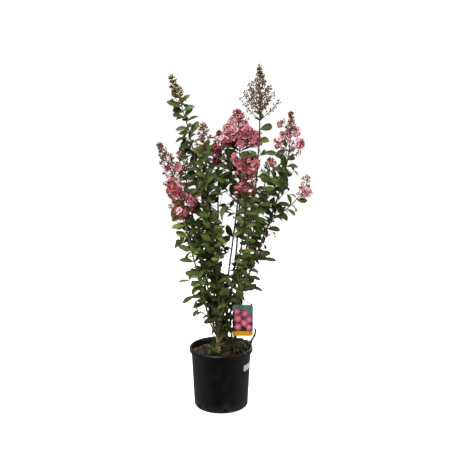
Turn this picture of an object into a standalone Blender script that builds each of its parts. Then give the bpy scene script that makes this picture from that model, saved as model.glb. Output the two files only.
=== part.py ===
"""A crape myrtle in flower in a black nursery pot, as solids at real size.

Metres, +Z up, the front to -Y. The origin is the centre of the pot's flat underside.
Each cane has a woody bough that leaves the trunk, and a leafy mass that carries on from it.
"""
import math
import random
from collections import namedtuple

import bmesh
import bpy
from mathutils import Vector
from mathutils.bvhtree import BVHTree

GAP = 0.0003                  # between pieces that touch
CLEAR = 0.0010                # least room between two masses of leaves
TAU = 2 * math.pi

# The pot, blow moulded, with a rolled rim and drain slots round its foot
POT_RIM_RADIUS = 0.127
POT_HEIGHT = 0.241
POT_FOOT_RADIUS = 0.1075
POT_SHOULDER_RADIUS = 0.119   # outside of the wall, just under the rim
POT_RIM_DEPTH = 0.018
POT_RIM_ROLL = 0.0025
POT_RIM_LAND = 0.0055         # width of the rim's flat top
POT_WALL = 0.0022
POT_CORNER = 0.007
POT_SIDES = 36
SLOT_COUNT = 6
SLOT_WIDTH = 0.012
SLOT_TOP = 0.021
SLOT_FLOOR = 0.0035
SLOT_FIRST = math.radians(-81)

# The label on the pot's wall, three of the wall's facets wide
LABEL_FIRST = math.radians(-40)
LABEL_FACETS = 3
LABEL_BOTTOM = 0.162
LABEL_TOP = 0.186
LABEL_THICK = 0.0005

SOIL_TOP = 0.218

# The trunk, from its cut at the soil to the head where the canes part
TRUNK_FOOT = Vector((-0.011, 0.0, SOIL_TOP + GAP))
TRUNK_HEAD = Vector((-0.0145, 0.0, 0.345))
TRUNK_RADIUS = 0.0080
TRUNK_FLARE = 0.0060          # added at the soil, gone after a few times FLARE_FADE
FLARE_FADE = 0.013
TRUNK_SWELL = 0.0028          # added at the head, where the canes leave
SWELL_FADE = 0.018
TRUNK_SIDES = 12
TRUNK_RINGS = 8

BOUGH_RADIUS = 0.0040
MAIN_LIMBS = {"left": 0.0048, "right": 0.0058}   # their radius where they leave the trunk
BOUGH_INSET = 0.0060          # from the trunk's axis to where a bough's axis starts
BOUGH_SIDES = 6
BOUGH_RINGS = 4

STEM_RADIUS = 0.0037
STEM_TIP_RADIUS = 0.0011
STEM_STEP = 0.070
AXIS_STEPS = 40               # points on a cane's axis that a leaf's tip is measured from
TWIG_SIDES = 3

LEAF_LENGTH = 0.064
LEAF_WIDTH = 0.042
LEAF_THICK = 0.0018
LEAF_FOLD = 0.08              # how far the two halves fold up, per width
LEAF_RISE = (28, 48)          # degrees above square to the stem
LEAF_DROOP = (15, 55)         # degrees its tip half bends down
LEAF_ROLL = 0.4               # radians it may turn about its own length
INTERNODE = 0.029
OWN_SPACE = 0.028             # how far a leaf may reach over the middle line to a neighbour

SHOOT_EVERY = 6               # a side shoot at every sixth pair of leaves
SHOOT_LENGTH = 0.085
SHOOT_RADIUS = 0.0013
SHOOT_LEAVES = 3

BLOOM_STEP = 0.031            # between the whorls of sprays where a flower head is open
BUD_STEP = 0.025              # and where it is in bud
HEAD_WAYS = 3                 # sprays in a whorl
HEAD_RISE = math.radians(38)  # of a spray above square to the stem
BLOOM_RADIUS = 0.021          # of a spray of open flowers, at its widest
BUD_RADIUS = 0.0095           # of a spray of buds
SPRAY_SHORTEST = 0.020
SPRAY_WIDEST = 0.70           # share of a spray's length where it is widest

# A cane: where its bough leaves the trunk, where the leafy part starts and ends, how fast it
# moves outwards at its start and its end (1 and 1 are a straight line), then its flower head's
# length, half-width and open share.
Cane = namedtuple("Cane", "name root foot tip early late plume spread bloom")
CANES = [Cane(*row) for row in (
    ("left_tall", 0.341, (-0.018, 0.022, 0.380), (-0.193, 0.050, 1.309), 0.80, 2.10, 0.110, 0.034, 0.0),
    ("right_tall", 0.300, (0.060, 0.018, 0.445), (0.142, -0.050, 1.338), 2.51, -0.58, 0.215, 0.074, 0.0),
    ("right", 0.262, (0.085, -0.016, 0.470), (0.265, 0.000, 1.170), 1.31, -0.40, 0.180, 0.058, 0.7),
    ("left", 0.341, (-0.028, -0.008, 0.375), (-0.236, -0.050, 1.054), 0.67, 1.55, 0.200, 0.052, 0.2),
    ("middle_left", 0.341, (-0.005, -0.026, 0.375), (-0.065, -0.080, 1.129), 0.62, 0.28, 0.120, 0.042, 0.2),
    ("centre", 0.315, (0.030, 0.032, 0.395), (0.064, 0.050, 1.176), 4.00, -2.00, 0.160, 0.076, 1.0),
    ("centre_back", 0.318, (-0.019, 0.048, 0.385), (-0.011, 0.150, 1.139), 1.40, 0.60, 0.120, 0.044, 1.0),
    ("front", 0.270, (0.006, -0.062, 0.380), (0.092, -0.200, 1.013), 2.40, -0.30, 0.155, 0.050, 0.8),
    ("front_left", 0.285, (-0.048, -0.046, 0.375), (-0.179, -0.120, 0.925), 1.00, 1.10, 0.150, 0.052, 1.0),
    ("back_left", 0.285, (-0.048, 0.052, 0.380), (-0.165, 0.180, 1.025), 1.10, 1.00, 0.100, 0.036, 0.7),
    ("back_right", 0.275, (0.046, 0.062, 0.385), (0.202, 0.170, 0.989), 1.20, 0.80, 0.100, 0.036, 0.7),
    ("back", 0.255, (0.012, 0.092, 0.390), (0.085, 0.270, 0.960), 1.20, 0.70, 0.120, 0.044, 0.8),
)]

# The long shoot on the right cane, which droops out to a flower of its own
LONG_SHOOT_HOST = "right"
LONG_SHOOT = Cane("long_shoot", None, (0.186, -0.004, 0.745), (0.335, 0.000, 0.920),
                  1.75, 0.00, 0.075, 0.026, 1.0)

# Low shoots from the trunk: name, height on the trunk, tip, leaves
LowShoot = namedtuple("LowShoot", "name root tip leaves")
LOW_SHOOTS = [
    LowShoot("low_left", 0.300, (-0.094, -0.040, 0.405), 7),
    LowShoot("low_front", 0.240, (-0.045, -0.072, 0.256), 6),
    LowShoot("low_right", 0.247, (0.078, -0.050, 0.266), 6),
    LowShoot("low_back", 0.248, (-0.050, 0.078, 0.272), 6),
    LowShoot("inner_left", 0.312, (-0.078, 0.014, 0.380), 5),
    LowShoot("inner_front", 0.316, (-0.026, -0.080, 0.372), 5),
    LowShoot("inner_right", 0.290, (0.024, -0.052, 0.340), 5),
    LowShoot("inner_back", 0.296, (-0.040, 0.075, 0.350), 5),
]
LOW_SHOOT_RADIUS = 0.0016
LOW_LEAF_SHARE = 0.80

# Two old shoots, dry and curled, beside the tag: name, foot on the soil, tip, and the sizes of
# their first and last turns
DryShoot = namedtuple("DryShoot", "name foot tip leave arrive")
DRY_SHOOTS = [
    DryShoot("dry_shoot_left", (0.058, -0.055), (0.037, -0.050, 0.332),
             (-0.020, 0, 0.110), (-0.012, 0, 0.110)),
    DryShoot("dry_shoot_right", (0.080, -0.055), (0.131, -0.050, 0.331),
             (0.106, 0, 0.174), (-0.050, 0, 0.050)),
]
DRY_RADIUS = 0.0022
DRY_STEPS = 6
DRY_SIDES = 6

# The hanging tag: a card on a white strap that is looped round the right bough
TAG_HOST = "right"
TAG_CENTRE = Vector((0.0855, -0.034, 0.3575))
TAG_SIZE = (0.081, 0.127)
TAG_THICK = 0.0008
TAG_CORNER = 0.009
STRAP_WIDTH = 0.0035
STRAP_THICK = 0.0008
STRAP_HEIGHT = 0.446
STRAP_TAIL = 0.034
LOOP_SIDES = 12
TAG_VIEW_DEPTH = 0.20         # no leaf hangs nearer than this in front of the tag


def finish(name, colour, roughness):
    material = bpy.data.materials.new(name)
    material.use_nodes = True
    shader = material.node_tree.nodes["Principled BSDF"]
    shader.inputs["Base Color"].default_value = (*colour, 1.0)
    shader.inputs["Roughness"].default_value = roughness
    shader.inputs["Metallic"].default_value = 0.0
    return material


def add(name, shape, material):
    """Links a shape, which is its points and its faces, as an object."""
    mesh = bpy.data.meshes.new(name)
    mesh.from_pydata(shape[0], [], shape[1])
    mesh.materials.append(material)
    piece = bpy.data.objects.new(name, mesh)
    bpy.context.scene.collection.objects.link(piece)
    return piece


def smooth(piece, angle=40):
    piece.data.shade_smooth()
    piece.data.set_sharp_from_angle(angle=math.radians(angle))


def boolean(piece, other, operation="DIFFERENCE"):
    cut = piece.modifiers.new(other.name, "BOOLEAN")
    cut.operation = operation
    cut.object = other
    return cut


def guide(piece):
    piece.hide_render = True
    piece.display_type = "WIRE"
    return piece


def square_to(along):
    """Two directions across a heading, which make a right-handed set with it."""
    start = Vector((0, 1, 0)) if abs(along.x) > 0.9 else Vector((1, 0, 0))
    across = (start - along * along.dot(start)).normalized()
    return across, along.cross(across)


def skin(rings):
    """Closes equal rings of points, each anticlockwise about the way they run, into a solid."""
    sides = len(rings[0])
    points = [point for ring in rings for point in ring]
    faces = [tuple(reversed(range(sides)))]
    for first in range(0, len(points) - sides, sides):
        for k in range(sides):
            low, low_next = first + k, first + (k + 1) % sides
            faces.append((low, low_next, low_next + sides, low + sides))
    faces.append(tuple(range(len(points) - sides, len(points))))
    return points, faces


def tube(path, radii, sides=TWIG_SIDES):
    """A tapering limb along a path of (place, heading)."""
    rings = []
    for (place, along), radius in zip(path, radii):
        across, over = square_to(along)
        turns = [TAU * k / sides for k in range(sides)]
        rings.append([place + (across * math.cos(a) + over * math.sin(a)) * radius for a in turns])
    return skin(rings)


def blade(root, along, side, length, width, droop, extra=0.0):
    """A leaf of eight faces: it rises along a heading to its widest part, then bends down."""
    up = side.cross(along).normalized()
    middle = root + along * length * 0.5
    bend = along * math.cos(droop) - up * math.sin(droop)
    tip = middle + bend * (length * 0.5 + extra)
    half = side * (width / 2 + extra)
    lift = up * width * LEAF_FOLD
    thick = up * (LEAF_THICK / 2 + extra)
    points = [root, middle - half + lift, middle - thick, middle + half + lift, middle + thick, tip]
    faces = []
    for k in range(1, 5):
        after = k % 4 + 1
        faces += [(0, k, after), (5, after, k)]
    return points, faces


def spray_shape(root, along, radius, length, sides, extra=0.0):
    """A spray of flowers or buds: two cones base to base, the longer one's point in its stem."""
    across, over = square_to(along)
    middle = root + along * length * SPRAY_WIDEST
    turns = [TAU * k / sides for k in range(sides)]
    ring = [middle + (across * math.cos(a) + over * math.sin(a)) * (radius + extra) for a in turns]
    points = [root, *ring, root + along * (length + extra)]
    faces = []
    for k in range(1, sides + 1):
        after = k % sides + 1
        faces += [(0, after, k), (sides + 1, k, after)]
    return points, faces


def blend(start, end, leave, arrive, share):
    """A cubic from start to end, and its slope, for the two slopes at its ends."""
    t = share
    place = (start * (2 * t**3 - 3 * t**2 + 1) + leave * (t**3 - 2 * t**2 + t)
             + end * (3 * t**2 - 2 * t**3) + arrive * (t**3 - t**2))
    slope = (start * (6 * t**2 - 6 * t) + leave * (3 * t**2 - 4 * t + 1)
             + end * (6 * t - 6 * t**2) + arrive * (3 * t**2 - 2 * t))
    return place, slope.normalized()


def flat(vector, factor):
    """The level part of a vector times a factor, with its rise kept."""
    return Vector((vector.x * factor, vector.y * factor, vector.z))


def cane_at(cane, share):
    foot, tip = Vector(cane.foot), Vector(cane.tip)
    run = tip - foot
    return blend(foot, tip, flat(run, cane.early), flat(run, cane.late), share)


def cane_length(cane):
    return (Vector(cane.tip) - Vector(cane.foot)).length


def trunk_at(height):
    share = (height - TRUNK_FOOT.z) / (TRUNK_HEAD.z - TRUNK_FOOT.z)
    return TRUNK_FOOT.lerp(TRUNK_HEAD, share)


def trunk_radius(height):
    flare = TRUNK_FLARE * math.exp(-(height - TRUNK_FOOT.z) / FLARE_FADE)
    swell = TRUNK_SWELL * math.exp(-(TRUNK_HEAD.z - height) / SWELL_FADE)
    return TRUNK_RADIUS + flare + swell


def trunk_shape(extra=0.0):
    """Level rings, closer together in the root flare; extra makes it a larger cutter."""
    rings = []
    rise = TRUNK_HEAD.z - TRUNK_FOOT.z
    for k in range(TRUNK_RINGS):
        share = (k / (TRUNK_RINGS - 1)) ** 1.4
        height = TRUNK_FOOT.z + rise * share
        centre = trunk_at(height)
        if k == 0:
            centre.z -= extra
        if k == TRUNK_RINGS - 1:
            centre.z += extra
        radius = trunk_radius(height) + extra
        rings.append([centre + Vector((math.cos(a), math.sin(a), 0)) * radius
                      for a in (TAU * side / TRUNK_SIDES for side in range(TRUNK_SIDES))])
    return skin(rings)


def level_ring(radius, height):
    """Points round the pot's axis, anticlockwise from above."""
    turns = [TAU * side / POT_SIDES for side in range(POT_SIDES)]
    return [Vector((radius * math.cos(a), radius * math.sin(a), height)) for a in turns]


def pot_outside(height):
    """Radius of the pot's straight wall at a height."""
    rise = POT_HEIGHT - POT_RIM_DEPTH
    return POT_FOOT_RADIUS + (POT_SHOULDER_RADIUS - POT_FOOT_RADIUS) * height / rise


def make_pot(plastic):
    """A turned profile from the underside's middle, up outside, over the rim and down inside."""
    shoulder = POT_HEIGHT - POT_RIM_DEPTH
    inner_rim = POT_RIM_RADIUS - POT_RIM_LAND - POT_RIM_ROLL
    profile = [
        (POT_FOOT_RADIUS - POT_CORNER, 0.0),
        (POT_FOOT_RADIUS - POT_CORNER * 0.3, POT_CORNER * 0.3),
        (pot_outside(POT_CORNER), POT_CORNER),
        (POT_SHOULDER_RADIUS, shoulder),
        (POT_RIM_RADIUS - POT_RIM_ROLL, shoulder + 0.001),
        (POT_RIM_RADIUS, shoulder + 0.001 + POT_RIM_ROLL),
        (POT_RIM_RADIUS, POT_HEIGHT - POT_RIM_ROLL),
        (POT_RIM_RADIUS - POT_RIM_ROLL, POT_HEIGHT),
        (inner_rim, POT_HEIGHT),
        (POT_SHOULDER_RADIUS - POT_WALL, shoulder - 0.001),
        (pot_outside(POT_CORNER) - POT_WALL, POT_CORNER),
        (POT_FOOT_RADIUS - POT_CORNER, POT_WALL),
    ]
    shape = skin([level_ring(radius, height) for radius, height in profile])
    pot = add("pot", shape, plastic)
    for k in range(SLOT_COUNT):
        slot = guide(slot_cutter("slot_%d" % k, SLOT_FIRST + TAU * k / SLOT_COUNT, plastic))
        boolean(pot, slot)
    smooth(pot, 35)
    return shape


def slot_cutter(name, angle, material):
    """A box through the wall, level with the floor inside, standing radially."""
    outward = Vector((math.cos(angle), math.sin(angle), 0))
    beside = Vector((-outward.y, outward.x, 0)) * SLOT_WIDTH / 2
    rings = []
    for reach in (POT_FOOT_RADIUS - 4 * POT_WALL, POT_FOOT_RADIUS + 3 * POT_WALL):
        middle = outward * reach
        rings.append([middle + beside * a + Vector((0, 0, z))
                      for a, z in ((-1, SLOT_FLOOR), (1, SLOT_FLOOR), (1, SLOT_TOP), (-1, SLOT_TOP))])
    return add(name, skin(rings), material)


def make_soil(earth):
    """Fills the pot up to SOIL_TOP, a gap inside its wall and over its floor."""
    inside = [
        (POT_FOOT_RADIUS - POT_CORNER, POT_WALL),
        (pot_outside(POT_CORNER) - POT_WALL, POT_CORNER),
        (pot_outside(SOIL_TOP) - POT_WALL, SOIL_TOP),
    ]
    rings = []
    for radius, height in inside:
        lift = 2 * GAP if height < SOIL_TOP else 0.0
        rings.append(level_ring(radius - 2 * GAP, height + lift))
    shape = skin(rings)
    smooth(add("soil", shape, earth))
    return shape


def make_label(paper):
    """A strip that follows the wall's own facets, a gap off it."""
    step = TAU / POT_SIDES
    outline = []
    for k in range(LABEL_FACETS + 1):
        a = LABEL_FIRST + step * k
        outward = Vector((math.cos(a), math.sin(a), 0))
        ring = []
        for height, out in ((LABEL_BOTTOM, 0), (LABEL_BOTTOM, 1), (LABEL_TOP, 1), (LABEL_TOP, 0)):
            radius = pot_outside(height) + GAP * 1.5 + LABEL_THICK * out
            ring.append(outward * radius + Vector((0, 0, height)))
        outline.append(ring[::-1])
    return add("label", skin(outline), paper)


def bough_path(cane):
    """From inside the trunk out to the cane's foot, where it has the cane's own heading."""
    foot = Vector(cane.foot)
    start = trunk_at(cane.root)
    outward = foot - start
    outward.z = 0
    start += outward.normalized() * BOUGH_INSET
    run = foot - start
    heading = cane_at(cane, 0)[1]
    arrive = heading * (run.z / heading.z)
    leave = run * 2 - arrive
    return [blend(start, foot, leave, arrive, k / BOUGH_RINGS) for k in range(BOUGH_RINGS + 1)]


def bough_shape(cane, extra=0.0):
    path = bough_path(cane)
    thick = MAIN_LIMBS.get(cane.name, BOUGH_RADIUS)
    radii = [thick + (STEM_RADIUS - thick) * k / BOUGH_RINGS + extra for k in range(BOUGH_RINGS + 1)]
    return tube(path, radii, BOUGH_SIDES)


def keep_largest_shell(mesh):
    """Fills hollows that the joining sealed, and drops loose scraps."""
    shape = bmesh.new()
    shape.from_mesh(mesh)
    left = set(shape.verts)
    shells = []
    while left:
        edge = [left.pop()]
        shell = set(edge)
        while edge:
            near = {link.other_vert(point) for point in edge for link in point.link_edges}
            edge = list(near & left)
            left -= near
            shell |= near
        shells.append(shell)
    shells.sort(key=len)
    for shell in shells[:-1]:
        bmesh.ops.delete(shape, geom=list(shell), context="VERTS")
    shape.to_mesh(mesh)
    shape.free()


class Room:
    """What is already taken, part by part, and whose each part is."""

    def __init__(self):
        self.parts = []
        self.axes = {}

    def take(self, owner, shape):
        points, faces = shape
        middle = sum(points, Vector()) / len(points)
        reach = max((point - middle).length for point in points)
        self.parts.append((owner, middle, reach, BVHTree.FromPolygons(points, faces)))

    def is_free(self, owner, shape):
        points, faces = shape
        middle = sum(points, Vector()) / len(points)
        reach = max((point - middle).length for point in points)
        tree = BVHTree.FromPolygons(points, faces)
        for other, centre, radius, taken in self.parts:
            near = (centre - middle).length < radius + reach
            if other != owner and near and tree.overlap(taken):
                return False
        return True

    def add_axis(self, owner, places):
        self.axes.setdefault(owner, []).extend(places)

    def is_own(self, owner, point):
        """Whether a point is nearer to its own cane than to the others, give or take."""
        away = {name: min((point - place).length for place in axis)
                for name, axis in self.axes.items()}
        others = [distance for name, distance in away.items() if name != owner]
        return owner not in away or away[owner] < min(others) + OWN_SPACE


def hides_tag(point):
    """Whether a point hangs in front of the tag."""
    across = abs(point.x - TAG_CENTRE.x) < TAG_SIZE[0] / 2 + LEAF_WIDTH / 2
    level = abs(point.z - TAG_CENTRE.z) < TAG_SIZE[1] / 2 + LEAF_WIDTH / 2
    ahead = TAG_CENTRE.y + 0.006 > point.y > TAG_CENTRE.y - TAG_VIEW_DEPTH
    return across and level and ahead


def leaf(place, along, turn, size, rng):
    """One leaf's root, heading, side, length, width and droop, for its turn round the stem."""
    across, over = square_to(along)
    outward = across * math.cos(turn) + over * math.sin(turn)
    rise = math.radians(rng.uniform(*LEAF_RISE))
    heading = (outward * math.cos(rise) + along * math.sin(rise)).normalized()
    level = heading.cross(Vector((0, 0, 1)))
    level = level.normalized() if level.length > 0.2 else outward.cross(heading).normalized()
    roll = rng.uniform(-LEAF_ROLL, LEAF_ROLL)
    side = (level * math.cos(roll) + heading.cross(level) * math.sin(roll)).normalized()
    length = LEAF_LENGTH * size * rng.uniform(0.88, 1.08)
    width = LEAF_WIDTH * size * rng.uniform(0.90, 1.08)
    droop = math.radians(rng.uniform(*LEAF_DROOP))
    return place, heading, side, length, width, droop


def leaf_size(share):
    """Leaves are a little smaller at the foot and under the flower head."""
    return 0.80 + 0.25 * math.sin(math.pi * min(1.0, share * 1.15)) ** 0.7 if share < 0.87 else 0.80


class Mass:
    """One cane's foliage: a stem, and what is grown on it where there is room."""

    def __init__(self, name, room, look):
        self.name = "foliage_" + name
        self.room = room
        self.look = look
        self.parts = []

    def keep(self, kind, shape):
        self.parts.append((kind, shape))
        self.room.take(self.name, shape)

    def try_leaf(self, values):
        shape = blade(*values, extra=CLEAR)
        tip = shape[0][-1]
        if hides_tag(tip) or not self.room.is_own(self.name, tip):
            return False
        if not self.room.is_free(self.name, shape):
            return False
        self.keep("leaf", blade(*values))
        return True

    def try_spray(self, place, heading, radius, length, opened):
        sides = 5 if opened else 4
        if self.room.is_free(self.name, spray_shape(place, heading, radius, length, sides, CLEAR)):
            self.keep("bloom" if opened else "bud", spray_shape(place, heading, radius, length, sides))

    def try_twig(self, start, end, radius):
        path = [(start, (end - start).normalized()), (end, (end - start).normalized())]
        if hides_tag(end) or not self.room.is_free(self.name, tube(path, [radius + CLEAR] * 2)):
            return False
        self.keep("twig", tube(path, [radius, radius * 0.8]))
        return True

    def join(self):
        """Unites the parts into one closed body, and removes what it was made of."""
        stem = add(self.name, self.parts[0][1], self.look["twig"])
        grown = bpy.data.collections.new(self.name + "_parts")
        bpy.context.scene.collection.children.link(grown)
        for k, (kind, shape) in enumerate(self.parts[1:]):
            part = add("%s_part_%d" % (self.name, k), shape, self.look[kind])
            bpy.context.scene.collection.objects.unlink(part)
            grown.objects.link(part)
        union = stem.modifiers.new("join", "BOOLEAN")
        union.operation = "UNION"
        union.operand_type = "COLLECTION"
        union.collection = grown
        union.solver = "MANIFOLD"
        union.material_mode = "TRANSFER"
        bpy.context.view_layer.objects.active = stem
        with bpy.context.temp_override(object=stem, active_object=stem):
            bpy.ops.object.modifier_apply(modifier=union.name)
        for part in list(grown.objects):
            bpy.data.objects.remove(part)
        bpy.data.collections.remove(grown)
        keep_largest_shell(stem.data)
        return stem


def grow_stem(mass, cane):
    """The stem from the foot, a gap past the bough's tip, to the top of the flower head."""
    steps = max(4, round(cane_length(cane) / STEM_STEP))
    path = [cane_at(cane, k / steps) for k in range(steps + 1)]
    foot, heading = path[0]
    path[0] = (foot + heading * GAP, heading)
    radii = [STEM_RADIUS + (STEM_TIP_RADIUS - STEM_RADIUS) * k / steps for k in range(steps + 1)]
    mass.keep("twig", tube(path, radii))
    mass.room.add_axis(mass.name, [cane_at(cane, k / AXIS_STEPS)[0] for k in range(AXIS_STEPS + 1)])


def grow_head(mass, cane):
    """Whorls of sprays, each whorl shorter than the last, open ones below and buds above."""
    length = cane_length(cane)
    base = 1 - cane.plume / length
    spot, k = 0.0, 0
    while spot < cane.plume - BUD_STEP / 2:
        share = spot / cane.plume
        rng = random.Random("%s head %d" % (cane.name, k))
        place, along = cane_at(cane, base + (1 - base) * share)
        across, over = square_to(along)
        opened = share < cane.bloom
        widest = BLOOM_RADIUS if opened else BUD_RADIUS
        reach = cane.spread * (1 - share) ** 0.7 / math.cos(HEAD_RISE)
        for n in range(HEAD_WAYS):
            turn = TAU * n / HEAD_WAYS + k * math.pi / 3 + rng.uniform(-0.3, 0.3)
            outward = across * math.cos(turn) + over * math.sin(turn)
            heading = (outward * math.cos(HEAD_RISE) + along * math.sin(HEAD_RISE)).normalized()
            size = max(SPRAY_SHORTEST, reach * rng.uniform(0.80, 1.10))
            radius = widest * rng.uniform(0.85, 1.1)
            mass.try_spray(place, heading, radius, size, opened)
        spot += BLOOM_STEP if opened else BUD_STEP
        k += 1
    top, along = cane_at(cane, 1)
    start = top - along * SPRAY_SHORTEST
    mass.keep("bud", spray_shape(start, along, BUD_RADIUS / 2, SPRAY_SHORTEST * 1.3, 4))


def grow_leaves(mass, cane, first_turn):
    """A leaf at each joint of the stem, a quarter turn on from the last or where there is room."""
    length = cane_length(cane)
    leafy = length - cane.plume
    joints = round(leafy / INTERNODE)
    for k in range(joints):
        rng = random.Random("%s leaf %d" % (cane.name, k))
        share = (k + 0.5) / joints
        place, along = cane_at(cane, share * leafy / length)
        turn = first_turn + k * math.pi / 2 + rng.uniform(-0.25, 0.25)
        for other_side in (0, math.pi, math.pi / 2, -math.pi / 2):
            if mass.try_leaf(leaf(place, along, turn + other_side, leaf_size(share), rng)):
                break


def grow_shoots(mass, cane, first_turn):
    """Short side shoots with a few leaves, from every sixth joint."""
    length = cane_length(cane)
    leafy = length - cane.plume
    joints = round(leafy / INTERNODE)
    for k in range(SHOOT_EVERY // 2, joints - 3, SHOOT_EVERY):
        rng = random.Random("%s shoot %d" % (cane.name, k))
        place, along = cane_at(cane, (k + 0.6) / joints * leafy / length)
        across, over = square_to(along)
        turn = first_turn + k * math.pi / 2 + math.pi + rng.uniform(-0.5, 0.5)
        outward = across * math.cos(turn) + over * math.sin(turn)
        heading = (outward * 0.75 + along * 0.65).normalized()
        end = place + heading * SHOOT_LENGTH * rng.uniform(0.7, 1.1)
        if mass.room.is_own(mass.name, end) and mass.try_twig(place, end, SHOOT_RADIUS):
            for n in range(SHOOT_LEAVES):
                spot = place.lerp(end, 0.45 + 0.5 * n / (SHOOT_LEAVES - 1))
                mass.try_leaf(leaf(spot, heading, n * TAU / 3 + turn, 0.85, rng))


def grow_low_shoot(shoot, room, look):
    """A thin leafy shoot that leaves the trunk's side low down."""
    mass = Mass(shoot.name, room, look)
    tip = Vector(shoot.tip)
    start = trunk_at(shoot.root)
    run = tip - start
    rise = Vector((run.x * 0.8, run.y * 0.8, run.z + 0.5 * math.hypot(run.x, run.y)))
    settle = Vector((run.x * 1.1, run.y * 1.1, run.z - 0.4 * math.hypot(run.x, run.y)))
    steps = 4
    path = [blend(start, tip, rise, settle, k / steps) for k in range(steps + 1)]
    mass.keep("twig", tube(path, [LOW_SHOOT_RADIUS * (1 - 0.4 * k / steps) for k in range(steps + 1)]))
    for k in range(shoot.leaves):
        rng = random.Random("%s leaf %d" % (shoot.name, k))
        place, along = blend(start, tip, rise, settle, 0.40 + 0.58 * k / (shoot.leaves - 1))
        mass.try_leaf(leaf(place, along, k * math.pi * 0.75, LOW_LEAF_SHARE, rng))
    return mass


def make_dry_shoot(shoot, bark):
    """A bare curved stub that stands on the soil, thinner to its tip."""
    leave, arrive = Vector(shoot.leave), Vector(shoot.arrive)
    lean = math.hypot(leave.x, leave.y) / leave.length
    foot = Vector((*shoot.foot, SOIL_TOP + GAP + DRY_RADIUS * lean))
    path = [blend(foot, Vector(shoot.tip), leave, arrive, k / DRY_STEPS) for k in range(DRY_STEPS + 1)]
    radii = [DRY_RADIUS * (1 - 0.5 * k / DRY_STEPS) for k in range(DRY_STEPS + 1)]
    shape = tube(path, radii, DRY_SIDES)
    add(shoot.name, shape, bark)
    return shape


def make_tag(card, white):
    """A card with rounded corners, and a strap from its top edge to a loop round the bough."""
    half_wide, half_high = TAG_SIZE[0] / 2, TAG_SIZE[1] / 2
    outline = []
    for corner in range(4):
        turn = corner * math.pi / 2
        middle_x = (half_wide - TAG_CORNER) * (1 if corner in (0, 3) else -1)
        middle_z = (half_high - TAG_CORNER) * (1 if corner in (0, 1) else -1)
        for k in range(4):
            a = turn + k * math.pi / 6
            outline.append((middle_x + TAG_CORNER * math.cos(a), middle_z + TAG_CORNER * math.sin(a)))
    rings = [[TAG_CENTRE + Vector((x, depth, z)) for x, z in outline]
             for depth in (TAG_THICK / 2, -TAG_THICK / 2)]
    tag_shape = skin(rings)
    add("tag", tag_shape, card)

    host = next(cane for cane in CANES if cane.name == TAG_HOST)
    place, heading = bough_point(host, STRAP_HEIGHT)
    inner = BOUGH_RADIUS + 2 * GAP
    loop_shape = loop(place, heading, inner, STRAP_THICK, STRAP_WIDTH)
    strap = add("tag_strap", loop_shape, white)
    front = place + Vector((inner * 0.3, -inner - STRAP_THICK / 2, 0))
    top = TAG_CENTRE + Vector((0, 0, half_high + GAP))
    high = Vector((top.x, front.y, STRAP_HEIGHT))
    pieces = [
        box_between(front, high + Vector((STRAP_TAIL, 0, 0)), Vector((0, STRAP_THICK / 2, 0)),
                    Vector((0, 0, STRAP_WIDTH / 2))),
        box_between(top, high, Vector((STRAP_WIDTH / 2, 0, 0)), Vector((0, STRAP_THICK / 2, 0))),
    ]
    for k, shape in enumerate(pieces):
        boolean(strap, guide(add("strap_part_%d" % k, shape, white)), "UNION")
    return [tag_shape, loop_shape, *pieces]


def bough_point(cane, height):
    """The place and heading on a bough at a height."""
    path = bough_path(cane)
    for (low, before), (high, after) in zip(path, path[1:]):
        if low.z <= height <= high.z:
            share = (height - low.z) / (high.z - low.z)
            return low.lerp(high, share), before.lerp(after, share).normalized()
    raise ValueError("no such height on " + cane.name)


def loop(place, heading, inner, thick, width):
    """A flat band round a limb, whose sides keep clear of it."""
    across, over = square_to(heading)
    spare = 1 / math.cos(math.pi / LOOP_SIDES)
    points = []
    for side in range(LOOP_SIDES):
        a = TAU * side / LOOP_SIDES
        outward = across * math.cos(a) + over * math.sin(a)
        for radius, rise in ((inner, -1), (inner + thick, -1), (inner + thick, 1), (inner, 1)):
            points.append(place + outward * radius * spare + heading * rise * width / 2)
    faces = []
    for side in range(LOOP_SIDES):
        here, there = side * 4, (side + 1) % LOOP_SIDES * 4
        faces += [(here + k, there + k, there + (k + 1) % 4, here + (k + 1) % 4) for k in range(4)]
    return points, faces


def box_between(start, end, half_a, half_b):
    """A bar of four sides from start to end, with its two half sides given."""
    along = end - start
    if half_a.cross(half_b).dot(along) < 0:
        half_a, half_b = half_b, half_a
    return skin([[end_point + half_a * a + half_b * b for a, b in ((-1, -1), (1, -1), (1, 1), (-1, 1))]
                 for end_point in (start, end)])


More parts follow.
